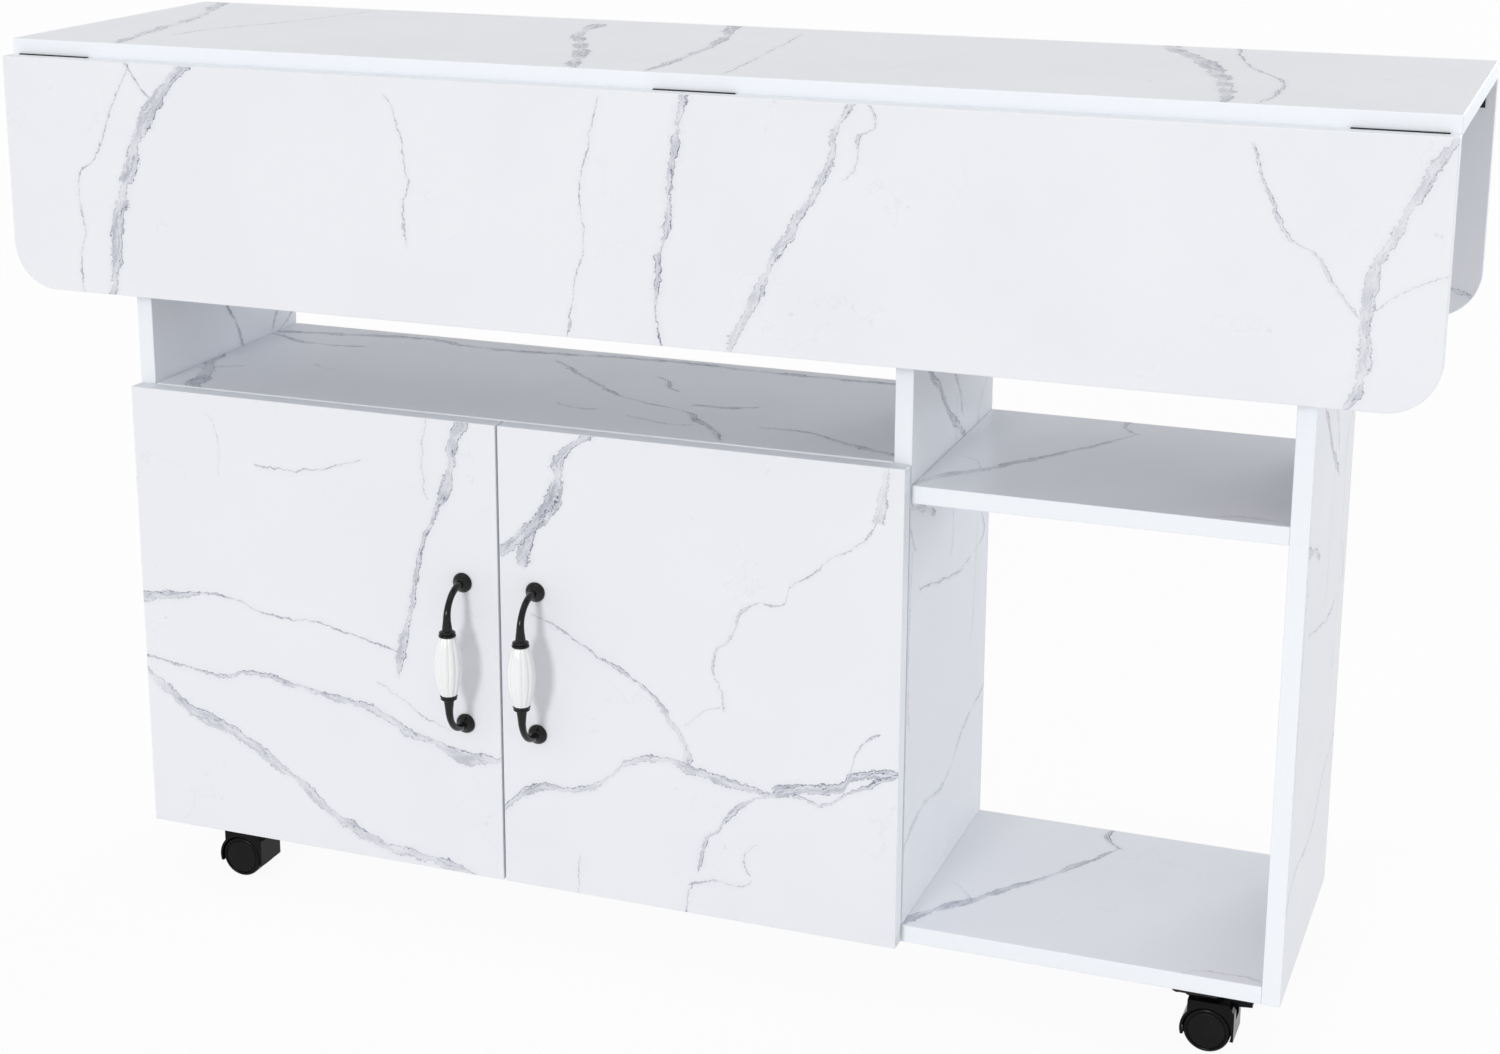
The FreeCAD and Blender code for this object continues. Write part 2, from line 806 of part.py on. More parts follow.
def make_supports():
    """Bracket and strut at both ends of each leaf, and the tracks they run in."""
    for rear in (False, True):
        row = "rear" if rear else "front"
        make_tracks("%s_leaf_tracks" % row, rear)
        for side in (-1, 1):
            end = "left" if side < 0 else "right"
            make_bracket("%s_%s_support_bracket" % (row, end), side, rear)
            make_strut("%s_%s_support_strut" % (row, end), side, rear)


# ---------------------------------------------------------------- doors
def make_door(label, left_edge, right_edge, cup_x):
    """Door board with two cup pockets in its back."""
    door = new_body(label)
    door.Placement = Placement(Vector(left_edge, door_front_y, door_bottom_z), Rotation())
    sketch = new_sketch(door, "XY")
    height = "Sizes.cabinet_shelf_height - Sizes.door_top_reveal"
    height += " - Sizes.caster_height - Sizes.door_bottom_reveal"
    width = "(Sizes.left_bay_width + 2 * Sizes.board_thickness - Sizes.door_split_gap) / 2"
    add_bound_rectangle(sketch, width + " - Sizes.door_side_reveal", "Sizes.board_thickness")
    pad(door, sketch, height)
    cups = [(cup_x, door_back_y, z) for z in cup_heights]
    drill(door, "Y", cups, size("cup_radius"), size("cup_depth"))
    return export(door)


def make_cup_pattern():
    """Steel hinge cup, open towards +Y; its rim fills the gap to the carcass edge."""
    cup = new_body("hinge_cup_pattern")
    outer = size("cup_radius")
    inner = outer - size("cup_wall")
    flange = size("cup_flange_radius")
    rim = size("door_gap")
    depth = size("cup_depth")
    sketch = new_sketch(cup, "YZ")
    add_outline(
        sketch,
        [
            (-depth, 0),
            (-depth, outer),
            (0, outer),
            (0, flange),
            (rim, flange),
            (rim, inner),
            (size("cup_floor") - depth, inner),
            (size("cup_floor") - depth, 0),
        ],
    )
    revolve(cup, sketch, "H_Axis")
    return cup


def make_hinge_arm_pattern(label, sign):
    """Concealed-hinge arm and its plate; X leads away from the panel, Y to the back."""
    arm = new_body(label)
    length = size("hinge_arm_length")
    plate = size("hinge_arm_plate")
    depth = size("hinge_arm_depth")
    offset = size("hinge_arm_offset")
    slope = size("hinge_arm_slope")
    outline = [
        (0, 2.0 * slope),
        (0, length),
        (plate, length),
        (plate, length - slope),
        (depth - plate, length - slope - plate),
        (depth, length - 2.0 * slope - plate),
        (depth, -size("hinge_arm_reach")),
        (offset, -size("hinge_arm_reach")),
        (offset, slope + plate),
        (plate, 2.0 * slope),
    ]
    sketch = new_sketch(arm, "XY")
    add_outline(sketch, [(sign * across, along) for across, along in outline])
    pad(arm, sketch, "Sizes.hinge_arm_height", symmetric=True)
    return arm


def pull_arm_profile(body):
    """Rosette, bent arm and double-ringed collar of one half of a door pull."""
    spacing = size("pull_spacing") / 2.0
    reach = -size("pull_projection")
    bend = size("pull_bend_radius")
    arm = size("pull_arm_radius")
    rosette = size("rosette_radius")
    tall = size("rosette_height")

    dome = new_sketch(body, "YZ", 0.0, (0.0, spacing))
    add_outline(
        dome,
        [
            (0, 0),
            (0, rosette),
            (-size("rosette_rim"), rosette),
            ((-0.72 * tall, 0.78 * rosette), (-tall, arm)),
            (-tall, 0),
        ],
    )
    revolve(body, dome, "H_Axis")

    stem = new_sketch(body, "XZ", tall / 2.0)
    add_circle(stem, (0, spacing), arm)
    pad(body, stem, -reach - bend - tall / 2.0)
    turn = new_sketch(body, "XZ", -reach - bend, (0.0, spacing - bend))
    add_circle(turn, (0, bend), arm)
    revolve(body, turn, "H_Axis", 90.0)

    turned = new_sketch(body, "YZ", 0.0, (reach, 0.0))
    add_outline(turned, collar_steps(size("grip_half_length"), spacing - bend))
    revolve(body, turned, "V_Axis")


def collar_steps(foot, top):
    """Half-profile of the double-ringed collar and of the flare above it."""
    ring = size("collar_ring_height")
    widest = size("collar_radius")
    groove = widest - size("collar_groove")
    return [
        (0, foot),
        (groove, foot),
        ((widest, foot + ring / 2.0), (groove, foot + ring)),
        ((groove + 0.5 * size("collar_groove"), foot + 1.5 * ring), (groove, foot + 2.0 * ring)),
        (size("arm_flare_radius"), foot + 2.0 * ring),
        (size("pull_arm_radius"), top),
        (0, top),
    ]


def lobed_section(sketch, peak, valley, count):
    """Closed ring of outward arcs, the cross-section of a fluted grip."""
    step = 2.0 * math.pi / count
    for index in range(count):
        turns = (index * step, (index + 0.5) * step, (index + 1) * step)
        radii = (valley, peak, valley)
        points = [
            Vector(radius * math.cos(turn), radius * math.sin(turn), 0)
            for radius, turn in zip(radii, turns)
        ]
        sketch.addGeometry(Part.Arc(*points))


def make_grip(label, placement):
    """Fluted ceramic barrel, lofted through lobed sections."""
    grip = new_body(label, placement)
    half = size("grip_half_length")
    end = size("grip_end_radius")
    swell = size("grip_middle_radius") - end
    count = int(size("grip_flute_count"))
    sketches = []
    for level in (-1.0, -0.72, -0.36, 0.0, 0.36, 0.72, 1.0):
        peak = end + swell * (1.0 - level ** 2)
        valley = peak - size("grip_flute_depth") * (1.0 - 0.6 * level ** 2)
        section = new_sketch(grip, "XY", level * half)
        lobed_section(section, peak, valley, count)
        section.Visibility = False
        sketches.append(section)
    loft = grip.newObject("PartDesign::AdditiveLoft", label + "_loft")
    loft.Profile = sketches[0]
    loft.Sections = sketches[1:]
    loft.Ruled = True
    return export(grip)


def make_pull(door_name, x):
    """Door pull: two arms on the door's face with the ceramic grip between them."""
    centre = Vector(x, door_front_y, pull_centre_z)
    for half, turn in (("upper", 0), ("lower", 180)):
        arm = new_body(
            "%s_pull_%s_arm" % (door_name, half), Placement(centre, Rotation(Vector(0, 1, 0), turn))
        )
        pull_arm_profile(arm)
        export(arm)
    out = centre + Vector(0, -size("pull_projection"), 0)
    make_grip("%s_pull_grip" % door_name, Placement(out, Rotation()))


def make_doors():
    """Both doors with their hinges and pulls."""
    cup = make_cup_pattern()
    left_cup_x = doors_left + size("cup_from_edge")
    right_cup_x = doors_right - size("cup_from_edge")
    split = size("door_split_gap") / 2.0
    make_door("left_door_panel", doors_left, door_split - split, left_cup_x)
    make_door("right_door_panel", door_split + split, doors_right, right_cup_x)
    sides = (
        ("left", left_cup_x, left_inner, 1, door_split - size("pull_from_split")),
        ("right", right_cup_x, divider_left, -1, door_split + size("pull_from_split")),
    )
    for name, cup_x, face, sign, pull_x in sides:
        cups = [Placement(Vector(cup_x, door_back_y, z), Rotation()) for z in cup_heights]
        make_group("%s_door_hinge_cups" % name, cup, cups)
        arm = make_hinge_arm_pattern("%s_hinge_arm_pattern" % name, sign)
        arms = [Placement(Vector(face, -half_depth, z), Rotation()) for z in cup_heights]
        make_group("%s_door_hinge_arms" % name, arm, arms)
        make_pull("%s_door" % name, pull_x)


# ---------------------------------------------------------------- casters
def make_caster_plate(label, placement):
    """Mounting plate with its race and king pin, screwed under the bottom board."""
    plate = new_body(label, placement)
    top = size("caster_height")
    thin = size("caster_plate_thickness")
    half = size("caster_plate_size") / 2.0
    corner = size("caster_plate_corner")
    arc = corner * (1.0 - math.sqrt(0.5))
    outline = []
    for sx, sy, first_x in ((1, 1, False), (-1, 1, True), (-1, -1, False), (1, -1, True)):
        on_x = (sx * half, sy * (half - corner))
        on_y = (sx * (half - corner), sy * half)
        start, end = (on_y, on_x) if first_x else (on_x, on_y)
        outline.append(start)
        outline.append(((sx * (half - arc), sy * (half - arc)), end))
    flat = new_sketch(plate, "XY", top - thin)
    add_outline(flat, outline)
    pad(plate, flat, "Sizes.caster_plate_thickness")
    race = new_sketch(plate, "XY", top - thin - size("race_height"))
    add_circle(race, (0, 0), size("race_radius"))
    pad(plate, race, "Sizes.race_height")
    pin = new_sketch(plate, "XY", top - thin - size("king_pin_length"))
    add_circle(pin, (0, 0), size("king_pin_radius"))
    pad(plate, pin, size("king_pin_length") - 1.0)
    return export(plate)


def make_hood(label, placement, braked):
    """Hood over both wheels: web, arched rims, closed rear skirt and swivel disc."""
    hood = new_body(label, placement)
    axle_x = size("caster_trail")
    axle_z = size("wheel_radius")
    inner = size("wheel_radius") + size("hood_clearance")
    outer = inner + size("hood_wall")
    skirt = axle_z - size("hood_skirt_drop")
    front_x = -size("king_pin_radius") - size("hood_front_wall")
    race = size("caster_plate_thickness") + size("race_height") + size("swivel_gap")
    disc_bottom = size("caster_height") - race - size("swivel_disc_height")
    tip_x = axle_x - math.sqrt(outer ** 2 - size("hood_skirt_drop") ** 2)
    shoulder_z = axle_z + math.sqrt(outer ** 2 - (axle_x - front_x) ** 2)
    side = new_sketch(hood, "XZ")
    add_outline(
        side,
        [
            (tip_x, skirt),
            ((axle_x - outer, axle_z), (front_x, shoulder_z)),
            (front_x, disc_bottom),
            (axle_x + outer - size("hood_slope_run"), disc_bottom),
            (axle_x + outer, disc_bottom - size("hood_slope_drop")),
            (axle_x + outer, skirt),
        ],
    )
    pad(hood, side, "Sizes.hood_width", symmetric=True)
    disc = new_sketch(hood, "XY", disc_bottom)
    add_circle(disc, (0, 0), size("swivel_disc_radius"))
    pad(hood, disc, "Sizes.swivel_disc_height")
    reach = size("hood_width")
    for hand in (-1, 1):
        cavity = new_sketch(hood, "XZ", hand * (size("hood_web") / 2.0 + reach / 2.0))
        add_circle(cavity, (axle_x, axle_z), inner)
        pocket(hood, cavity, reach)
    bore = new_sketch(hood, "XZ")
    add_circle(bore, (axle_x, axle_z), size("axle_radius") + size("pin_clearance"))
    pocket(hood, bore, size("hood_web") * 2.0)
    king_foot = size("caster_height") - size("caster_plate_thickness") - size("king_pin_length")
    disc_top = disc_bottom + size("swivel_disc_height")
    king = new_sketch(hood, "XY", disc_top)
    add_circle(king, (0, 0), size("king_pin_radius") + size("pin_clearance"))
    pocket(hood, king, 2.0 * (disc_top - king_foot + 0.5))
    if braked:
        cut_lever_slot(hood, disc_bottom)
    return export(hood)


def lever_pivot():
    """Pivot of the brake lever in the caster's own frame."""
    across = size("caster_trail") + size("lever_pivot_offset")
    return (across, size("wheel_radius") + size("lever_pivot_height"))


def cut_lever_slot(hood, ceiling):
    """Slot through the rear of the hood for the lever, and bores for its trunnions."""
    wide = size("lever_width") + 2.0 * size("lever_gap")
    start = size("caster_trail") - size("lever_slot_start")
    end = start + size("lever_slot_length")
    floor = size("lever_slot_floor")
    slot = new_sketch(hood, "XZ")
    add_outline(slot, [(start, floor), (end, floor), (end, ceiling), (start, ceiling)])
    pocket(hood, slot, wide)
    bore = new_sketch(hood, "XZ")
    add_circle(bore, lever_pivot(), size("lever_trunnion_radius") + size("pin_clearance"))
    past_slot = size("lever_trunnion_reach") - size("lever_gap") + size("lever_trunnion_play")
    pocket(hood, bore, wide + 2.0 * past_slot)


# Side view of the brake lever from its pivot: heel, shoe on the treads, toe tab.
LEVER_OUTLINE = (
    (-2.5, -2.0),
    (5.0, -2.7),
    (7.5, -6.1),
    (12.0, -10.1),
    (14.0, -8.0),
    (14.5, -2.0),
    (31.0, -0.5),
    (31.0, 2.3),
    (27.0, 2.9),
    (-2.5, 2.1),
)


def make_lever(label, placement):
    """Foot brake lever, pressed down on the wheels."""
    lever = new_body(label, placement)
    pivot = lever_pivot()
    side = new_sketch(lever, "XZ")
    add_outline(side, [(pivot[0] + x, pivot[1] + z) for x, z in LEVER_OUTLINE])
    pad(lever, side, "Sizes.lever_width", symmetric=True)
    pin = new_sketch(lever, "XZ")
    add_circle(pin, pivot, size("lever_trunnion_radius"))
    pad(lever, pin, size("lever_width") + 2.0 * size("lever_trunnion_reach"), symmetric=True)
    return export(lever)


def make_wheels(label, placement):
    """The two wheels of a caster, with chamfered treads and shallow dished faces."""
    wheels = new_body(label, placement, several_solids=True)
    near = size("wheel_inner_face")
    far = near + size("wheel_width")
    edge = size("wheel_edge")
    radius = size("wheel_radius")
    dish = size("wheel_dish_radius")
    axis = (size("caster_trail"), size("wheel_radius"))
    half_profile = [
        (near, size("axle_radius")),
        (near, radius - edge),
        (near + edge, radius),
        (far - edge, radius),
        (far, radius - edge),
        (far, dish),
        (far - size("wheel_dish_depth"), dish - 1.0),
        (far - size("wheel_dish_depth"), size("axle_radius")),
    ]
    for hand in (-1, 1):
        sketch = new_sketch(wheels, "YZ", axis[0], (0.0, axis[1]))
        add_outline(sketch, [(hand * y, r) for y, r in half_profile])
        revolve(wheels, sketch, "H_Axis")
    return export(wheels)


def make_axle(label, placement):
    """Steel axle, pressed into both wheels and running in the hood's web."""
    axle = new_body(label, placement)
    half = size("wheel_inner_face") + size("wheel_width") - size("wheel_dish_depth")
    sketch = new_sketch(axle, "XZ")
    add_circle(sketch, (size("caster_trail"), size("wheel_radius")), size("axle_radius"))
    pad(axle, sketch, 2.0 * half, symmetric=True)
    return export(axle)


def make_casters():
    """Four casters; those at the right end have brake levers."""
    for row, y in (("front", -1), ("rear", 1)):
        for end, x in (("left", -1), ("right", 1)):
            name = "caster_%s_%s" % (row, end)
            spot = Vector(x * size("caster_from_centre"), y * size("caster_from_middle"), 0)
            place = Placement(spot, Rotation())
            braked = end == "right"
            make_caster_plate(name + "_plate", place)
            make_hood(name + "_hood", place, braked)
            make_wheels(name + "_wheels", place)
            make_axle(name + "_axle", place)
            if braked:
                make_lever(name + "_brake_lever", place)


# ---------------------------------------------------------------- build
def check_and_export():
    """Stop on a bad feature or shape, then write one STEP file for each node."""
    document.recompute()
    for item in document.Objects:
        bad = [word for word in item.State if word in ("Invalid", "Error")]
        if bad:
            raise RuntimeError("%s is %s" % (item.Label, bad))
    os.makedirs("parts", exist_ok=True)
    for item in exported:
        if item.Shape.isNull() or not item.Shape.isValid():
            raise RuntimeError("%s has a bad shape" % item.Label)
        if item.Shape.Volume <= 0:
            raise RuntimeError("%s has no volume" % item.Label)
        item.Shape.exportStep("parts/%s.step" % item.Label)


make_top()
make_carcass()
make_dowels()
make_cam_locks()
make_shelf_pins()
make_leaf("front_leaf_panel", False)
make_leaf("rear_leaf_panel", True)
make_hinges()
make_supports()
make_doors()
make_casters()
check_and_export()
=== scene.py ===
"""Drop-leaf service table on casters: marbled boards, black hardware, soft studio light."""

import bpy
import bmesh
import json
import math
from mathutils import Matrix, Vector


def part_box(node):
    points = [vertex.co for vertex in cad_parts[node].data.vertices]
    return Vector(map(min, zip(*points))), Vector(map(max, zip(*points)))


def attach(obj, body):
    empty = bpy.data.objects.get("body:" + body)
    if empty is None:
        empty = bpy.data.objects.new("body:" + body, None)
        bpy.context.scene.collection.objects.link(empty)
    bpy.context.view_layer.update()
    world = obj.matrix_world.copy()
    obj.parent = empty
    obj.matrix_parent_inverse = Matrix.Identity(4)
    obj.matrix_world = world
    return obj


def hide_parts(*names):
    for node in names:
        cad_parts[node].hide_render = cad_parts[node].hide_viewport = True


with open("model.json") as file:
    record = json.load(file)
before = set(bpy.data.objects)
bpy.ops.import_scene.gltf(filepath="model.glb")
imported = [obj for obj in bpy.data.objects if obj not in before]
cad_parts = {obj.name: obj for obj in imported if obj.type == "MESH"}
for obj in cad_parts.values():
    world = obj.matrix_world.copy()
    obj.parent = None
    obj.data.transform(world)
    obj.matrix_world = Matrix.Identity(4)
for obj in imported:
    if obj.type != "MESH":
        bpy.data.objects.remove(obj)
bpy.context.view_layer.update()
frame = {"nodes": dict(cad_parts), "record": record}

MM = 0.001
X, Y, Z = Vector((1, 0, 0)), Vector((0, 1, 0)), Vector((0, 0, 1))

# ------------ colours (linear)
BOARD_WHITE = (0.850, 0.858, 0.905, 1.0)
BOARD_SHADE = (0.790, 0.800, 0.855, 1.0)
VEIN_GREY = (0.160, 0.174, 0.265, 1.0)
BAND_WHITE = (0.890, 0.915, 0.965, 1.0)
BAND_SHADE = (0.830, 0.855, 0.910, 1.0)
BLACK_METAL = (0.012, 0.012, 0.013, 1.0)
POLISHED_BLACK = (0.005, 0.005, 0.006, 1.0)
WORN_METAL = (0.060, 0.060, 0.063, 1.0)
ZINC = (0.560, 0.570, 0.585, 1.0)
ZINC_DULL = (0.360, 0.365, 0.375, 1.0)
GLAZE = (0.900, 0.905, 0.920, 1.0)
GLAZE_SHADE = (0.820, 0.830, 0.860, 1.0)
BLACK_PLASTIC = (0.004, 0.004, 0.0045, 1.0)
DUSTY_PLASTIC = (0.016, 0.016, 0.017, 1.0)
BEECH = (0.560, 0.360, 0.190, 1.0)
BEECH_DARK = (0.360, 0.205, 0.095, 1.0)


# ------------ node helpers
def link(tree, source, target):
    tree.links.new(source, target)


def feed(tree, socket, value):
    """Give a socket a link or a plain value."""
    if isinstance(value, bpy.types.NodeSocket):
        link(tree, value, socket)
    else:
        socket.default_value = value


def set_inputs(tree, node, **values):
    """Feed a node's sockets by name; an underscore stands for a space."""
    for label, value in values.items():
        feed(tree, node.inputs[label.replace("_", " ")], value)


def maths(tree, operation, first, second=0.0, third=0.0, clamp=False):
    node = tree.nodes.new("ShaderNodeMath")
    node.operation = operation
    node.use_clamp = clamp
    for socket, value in zip(node.inputs, (first, second, third)):
        feed(tree, socket, value)
    return node.outputs[0]


def times(tree, first, second):
    return maths(tree, "MULTIPLY", first, second)


def minus(tree, first, second):
    return maths(tree, "SUBTRACT", first, second)


def larger(tree, first, second):
    return maths(tree, "MAXIMUM", first, second)


def step_between(tree, value, start, end, low=0.0, high=1.0, smooth=True):
    """Map Range from start..end to low..high."""
    node = tree.nodes.new("ShaderNodeMapRange")
    node.interpolation_type = "SMOOTHSTEP" if smooth else "LINEAR"
    node.clamp = smooth
    set_inputs(tree, node, Value=value, From_Min=start, From_Max=end, To_Min=low, To_Max=high)
    return node.outputs["Result"]


def noise(tree, vector, scale, detail, roughness=0.5, output="Fac"):
    """Noise Texture; scale is in cells to the metre when vector is in metres."""
    node = tree.nodes.new("ShaderNodeTexNoise")
    set_inputs(tree, node, Vector=vector, Scale=scale, Detail=detail, Roughness=roughness)
    return node.outputs[output]


def blend(tree, factor, first, second):
    """Colour mix."""
    node = tree.nodes.new("ShaderNodeMix")
    node.data_type = "RGBA"
    set_inputs(tree, node, Factor=factor, A=first, B=second)
    return node.outputs["Result"]


def new_group(name, inputs, outputs):
    """Empty shader group; inputs and outputs name its float sockets, and Vector its vector one."""
    group = bpy.data.node_groups.new(name, "ShaderNodeTree")
    for labels, way in ((inputs, "INPUT"), (outputs, "OUTPUT")):
        for label in labels:
            kind = "NodeSocketVector" if label == "Vector" else "NodeSocketFloat"
            group.interface.new_socket(name=label, in_out=way, socket_type=kind)
    return group, group.nodes.new("NodeGroupInput").outputs, group.nodes.new("NodeGroupOutput").inputs


def place_group(tree, group, **values):
    node = tree.nodes.new("ShaderNodeGroup")
    node.node_tree = group
    set_inputs(tree, node, **values)
    return node.outputs


def new_material(name):
    material = bpy.data.materials.new(name)
    material.use_nodes = True
    tree = material.node_tree
    tree.nodes.clear()
    shader = tree.nodes.new("ShaderNodeBsdfPrincipled")
    output = tree.nodes.new("ShaderNodeOutputMaterial")
    link(tree, shader.outputs["BSDF"], output.inputs["Surface"])
    return material, tree, shader


def stretched_place(tree, place, **values):
    """A place moved, turned or scaled by a Mapping node."""
    mapping = tree.nodes.new("ShaderNodeMapping")
    set_inputs(tree, mapping, Vector=place, **values)
    return mapping.outputs["Vector"]


def object_place(tree, shift=(0.0, 0.0, 0.0)):
    """Object coordinates in metres, moved by shift."""
    coordinates = tree.nodes.new("ShaderNodeTexCoord")
    return stretched_place(tree, coordinates.outputs["Object"], Location=shift)


def add_bump(tree, shader, height, strength, distance):
    bump = tree.nodes.new("ShaderNodeBump")
    set_inputs(tree, bump, Strength=strength, Distance=distance, Height=height)
    link(tree, bump.outputs["Normal"], shader.inputs["Normal"])


# ------------ shared effects
PRINT_SWAY = 11.0  # mm by which the print wavers from side to side
THINNING = 0.65  # mm taken off every vein's half width
FINEST_HALF = 0.10  # mm, the least half width of a vein
TEXTURE_DEPTH = 0.0002  # m, height of the fine surface texture


def make_print_ground():
    """Paper print under the veins: wavering millimetre axes, clouds, hairlines, film texture."""
    outputs = ("X", "Y", "Z", "Flow", "Jag", "Grain", "Cloud", "Hairline", "Speck", "Film")
    group, into, out = new_group("print_ground", ["Vector"], outputs)
    place = into["Vector"]
    waver = noise(group, place, 42.0, 5.0, 0.62, "Color")
    split = group.nodes.new("ShaderNodeSeparateXYZ")
    link(group, place, split.inputs[0])
    parts = group.nodes.new("ShaderNodeSeparateColor")
    link(group, waver, parts.inputs[0])
    for axis, colour in zip("XYZ", ("Red", "Green", "Blue")):
        straight = times(group, split.outputs[axis], 1.0 / MM)
        swayed = maths(group, "MULTIPLY_ADD", parts.outputs[colour], PRINT_SWAY, straight)
        link(group, minus(group, swayed, PRINT_SWAY / 2.0), out[axis])
    link(group, noise(group, place, 34.0, 2.0), out["Flow"])
    link(group, noise(group, place, 170.0, 3.0, 0.62), out["Jag"])
    link(group, noise(group, place, 420.0, 3.0, 0.7), out["Grain"])
    link(group, noise(group, place, 7.0, 3.0), out["Cloud"])
    ridge = minus(group, noise(group, place, 6.5, 9.0, 0.55), 0.5)
    ridge = maths(group, "ABSOLUTE", ridge)
    thread = step_between(group, ridge, 0.0, 0.0035, 1.0, 0.0)
    patch = step_between(group, noise(group, place, 9.0, 2.0), 0.54, 0.66)
    link(group, times(group, thread, patch), out["Hairline"])
    spot = step_between(group, noise(group, place, 75.0, 3.0, 0.6), 0.68, 0.76)
    link(group, times(group, spot, patch), out["Speck"])
    link(group, noise(group, place, 1500.0, 2.0), out["Film"])
    return group


def make_vein():
    """One marble vein: streaked pale ribbon, ragged edges, the far one darker, and a broken core."""
    inputs = ("Along", "Travel", "Across", "Route", "Low", "High", "Start Half", "End Half",
              "Depth", "Flow", "Jag", "Grain")
    group, into, out = new_group("vein", inputs, ["Mask"])
    reach = minus(group, into["High"], into["Low"])
    centre = maths(group, "MULTIPLY_ADD", into["Route"], reach, into["Low"])
    side = minus(group, into["Across"], centre)
    change = minus(group, into["End Half"], into["Start Half"])
    half = maths(group, "MULTIPLY_ADD", into["Along"], change, into["Start Half"])
    for wobble, least, share in (("Jag", 3.2, 0.9), ("Grain", 1.2, 0.5)):
        swing = maths(group, "MULTIPLY_ADD", half, share, least)
        offset = minus(group, into[wobble], 0.5)
        side = maths(group, "MULTIPLY_ADD", offset, swing, side)
    swell = step_between(group, into["Flow"], 0.32, 0.68, 0.45, 1.30, smooth=False)
    narrowing = step_between(group, into["Along"], 0.88, 1.0, 1.0, 0.45)
    half = maths(group, "MULTIPLY_ADD", times(group, half, narrowing), swell, -THINNING)
    half = larger(group, half, FINEST_HALF)
    inside = minus(group, half, maths(group, "ABSOLUTE", side))

    streak_place = group.nodes.new("ShaderNodeCombineXYZ")
    link(group, times(group, side, 0.55), streak_place.inputs["X"])
    link(group, times(group, into["Travel"], 0.045), streak_place.inputs["Y"])
    link(group, into["Low"], streak_place.inputs["Z"])
    streak = noise(group, streak_place.outputs[0], 1.0, 2.0, 0.6)

    fill = step_between(group, inside, -0.3, 0.9)
    fill = times(group, fill, step_between(group, streak, 0.38, 0.62, 0.16, 0.46))
    line = step_between(group, maths(group, "ABSOLUTE", inside), 0.10, 0.80, 1.0, 0.0)
    tone = step_between(group, side, -0.6, 0.6, 0.70, 1.15)
    broken = step_between(group, into["Grain"], 0.38, 0.60, 0.34, 1.1)
    line = times(group, line, times(group, tone, broken))
    core_place = times(group, half, 0.45)
    core = maths(group, "ABSOLUTE", minus(group, side, core_place))
    core = step_between(group, core, 0.2, 1.3, 1.0, 0.0)
    core = times(group, core, step_between(group, streak, 0.46, 0.58))
    core = times(group, core, step_between(group, into["Jag"], 0.42, 0.58))
    core = times(group, core, step_between(group, half, 0.8, 2.0))
    mask = larger(group, larger(group, fill, line), core)
    fleck = times(group, step_between(group, inside, -4.5, -0.5, 0.0, 0.34),
                  step_between(group, into["Grain"], 0.58, 0.68))
    mask = larger(group, mask, fleck)

    fade_in = step_between(group, into["Along"], -0.01, 0.04)
    ragged = minus(group, into["Along"], 0.05)
    ragged = maths(group, "MULTIPLY_ADD", into["Grain"], 0.10, ragged)
    fade_out = step_between(group, ragged, 0.95, 1.01, 1.0, 0.0)
    fade = times(group, fade_in, fade_out)
    mask = times(group, mask, fade)
    press = step_between(group, into["Flow"], 0.32, 0.62, 0.46, 1.14)
    mask = times(group, mask, press)
    halo = step_between(group, inside, -7.0, 0.0, 0.0, 0.045)
    mask = larger(group, mask, times(group, halo, fade))
    link(group, maths(group, "MULTIPLY", mask, into["Depth"], clamp=True), out["Mask"])
    return group


def make_wear():
    """Handling marks: smudges, fine scratches and dust, as a mask and a height."""
    group, into, out = new_group("wear", ["Vector", "Amount", "Scale"], ["Mask", "Smudge", "Height"])
    scaled = group.nodes.new("ShaderNodeVectorMath")
    scaled.operation = "SCALE"
    link(group, into["Vector"], scaled.inputs[0])
    link(group, into["Scale"], scaled.inputs["Scale"])
    place = scaled.outputs[0]
    blotch = step_between(group, noise(group, place, 30.0, 4.0, 0.6), 0.45, 0.75)
    drawn_out = stretched_place(group, place, Scale=(1.0, 0.06, 0.3), Rotation=(0.3, 0.2, 0.7))
    scratch = step_between(group, noise(group, drawn_out, 900.0, 1.0), 0.66, 0.74)
    mask = larger(group, times(group, blotch, 0.5), scratch)
    link(group, times(group, mask, into["Amount"]), out["Mask"])
    link(group, blotch, out["Smudge"])
    link(group, noise(group, place, 1200.0, 3.0), out["Height"])
    return group


PRINT_GROUND = make_print_ground()
VEIN = make_vein()
WEAR = make_wear()


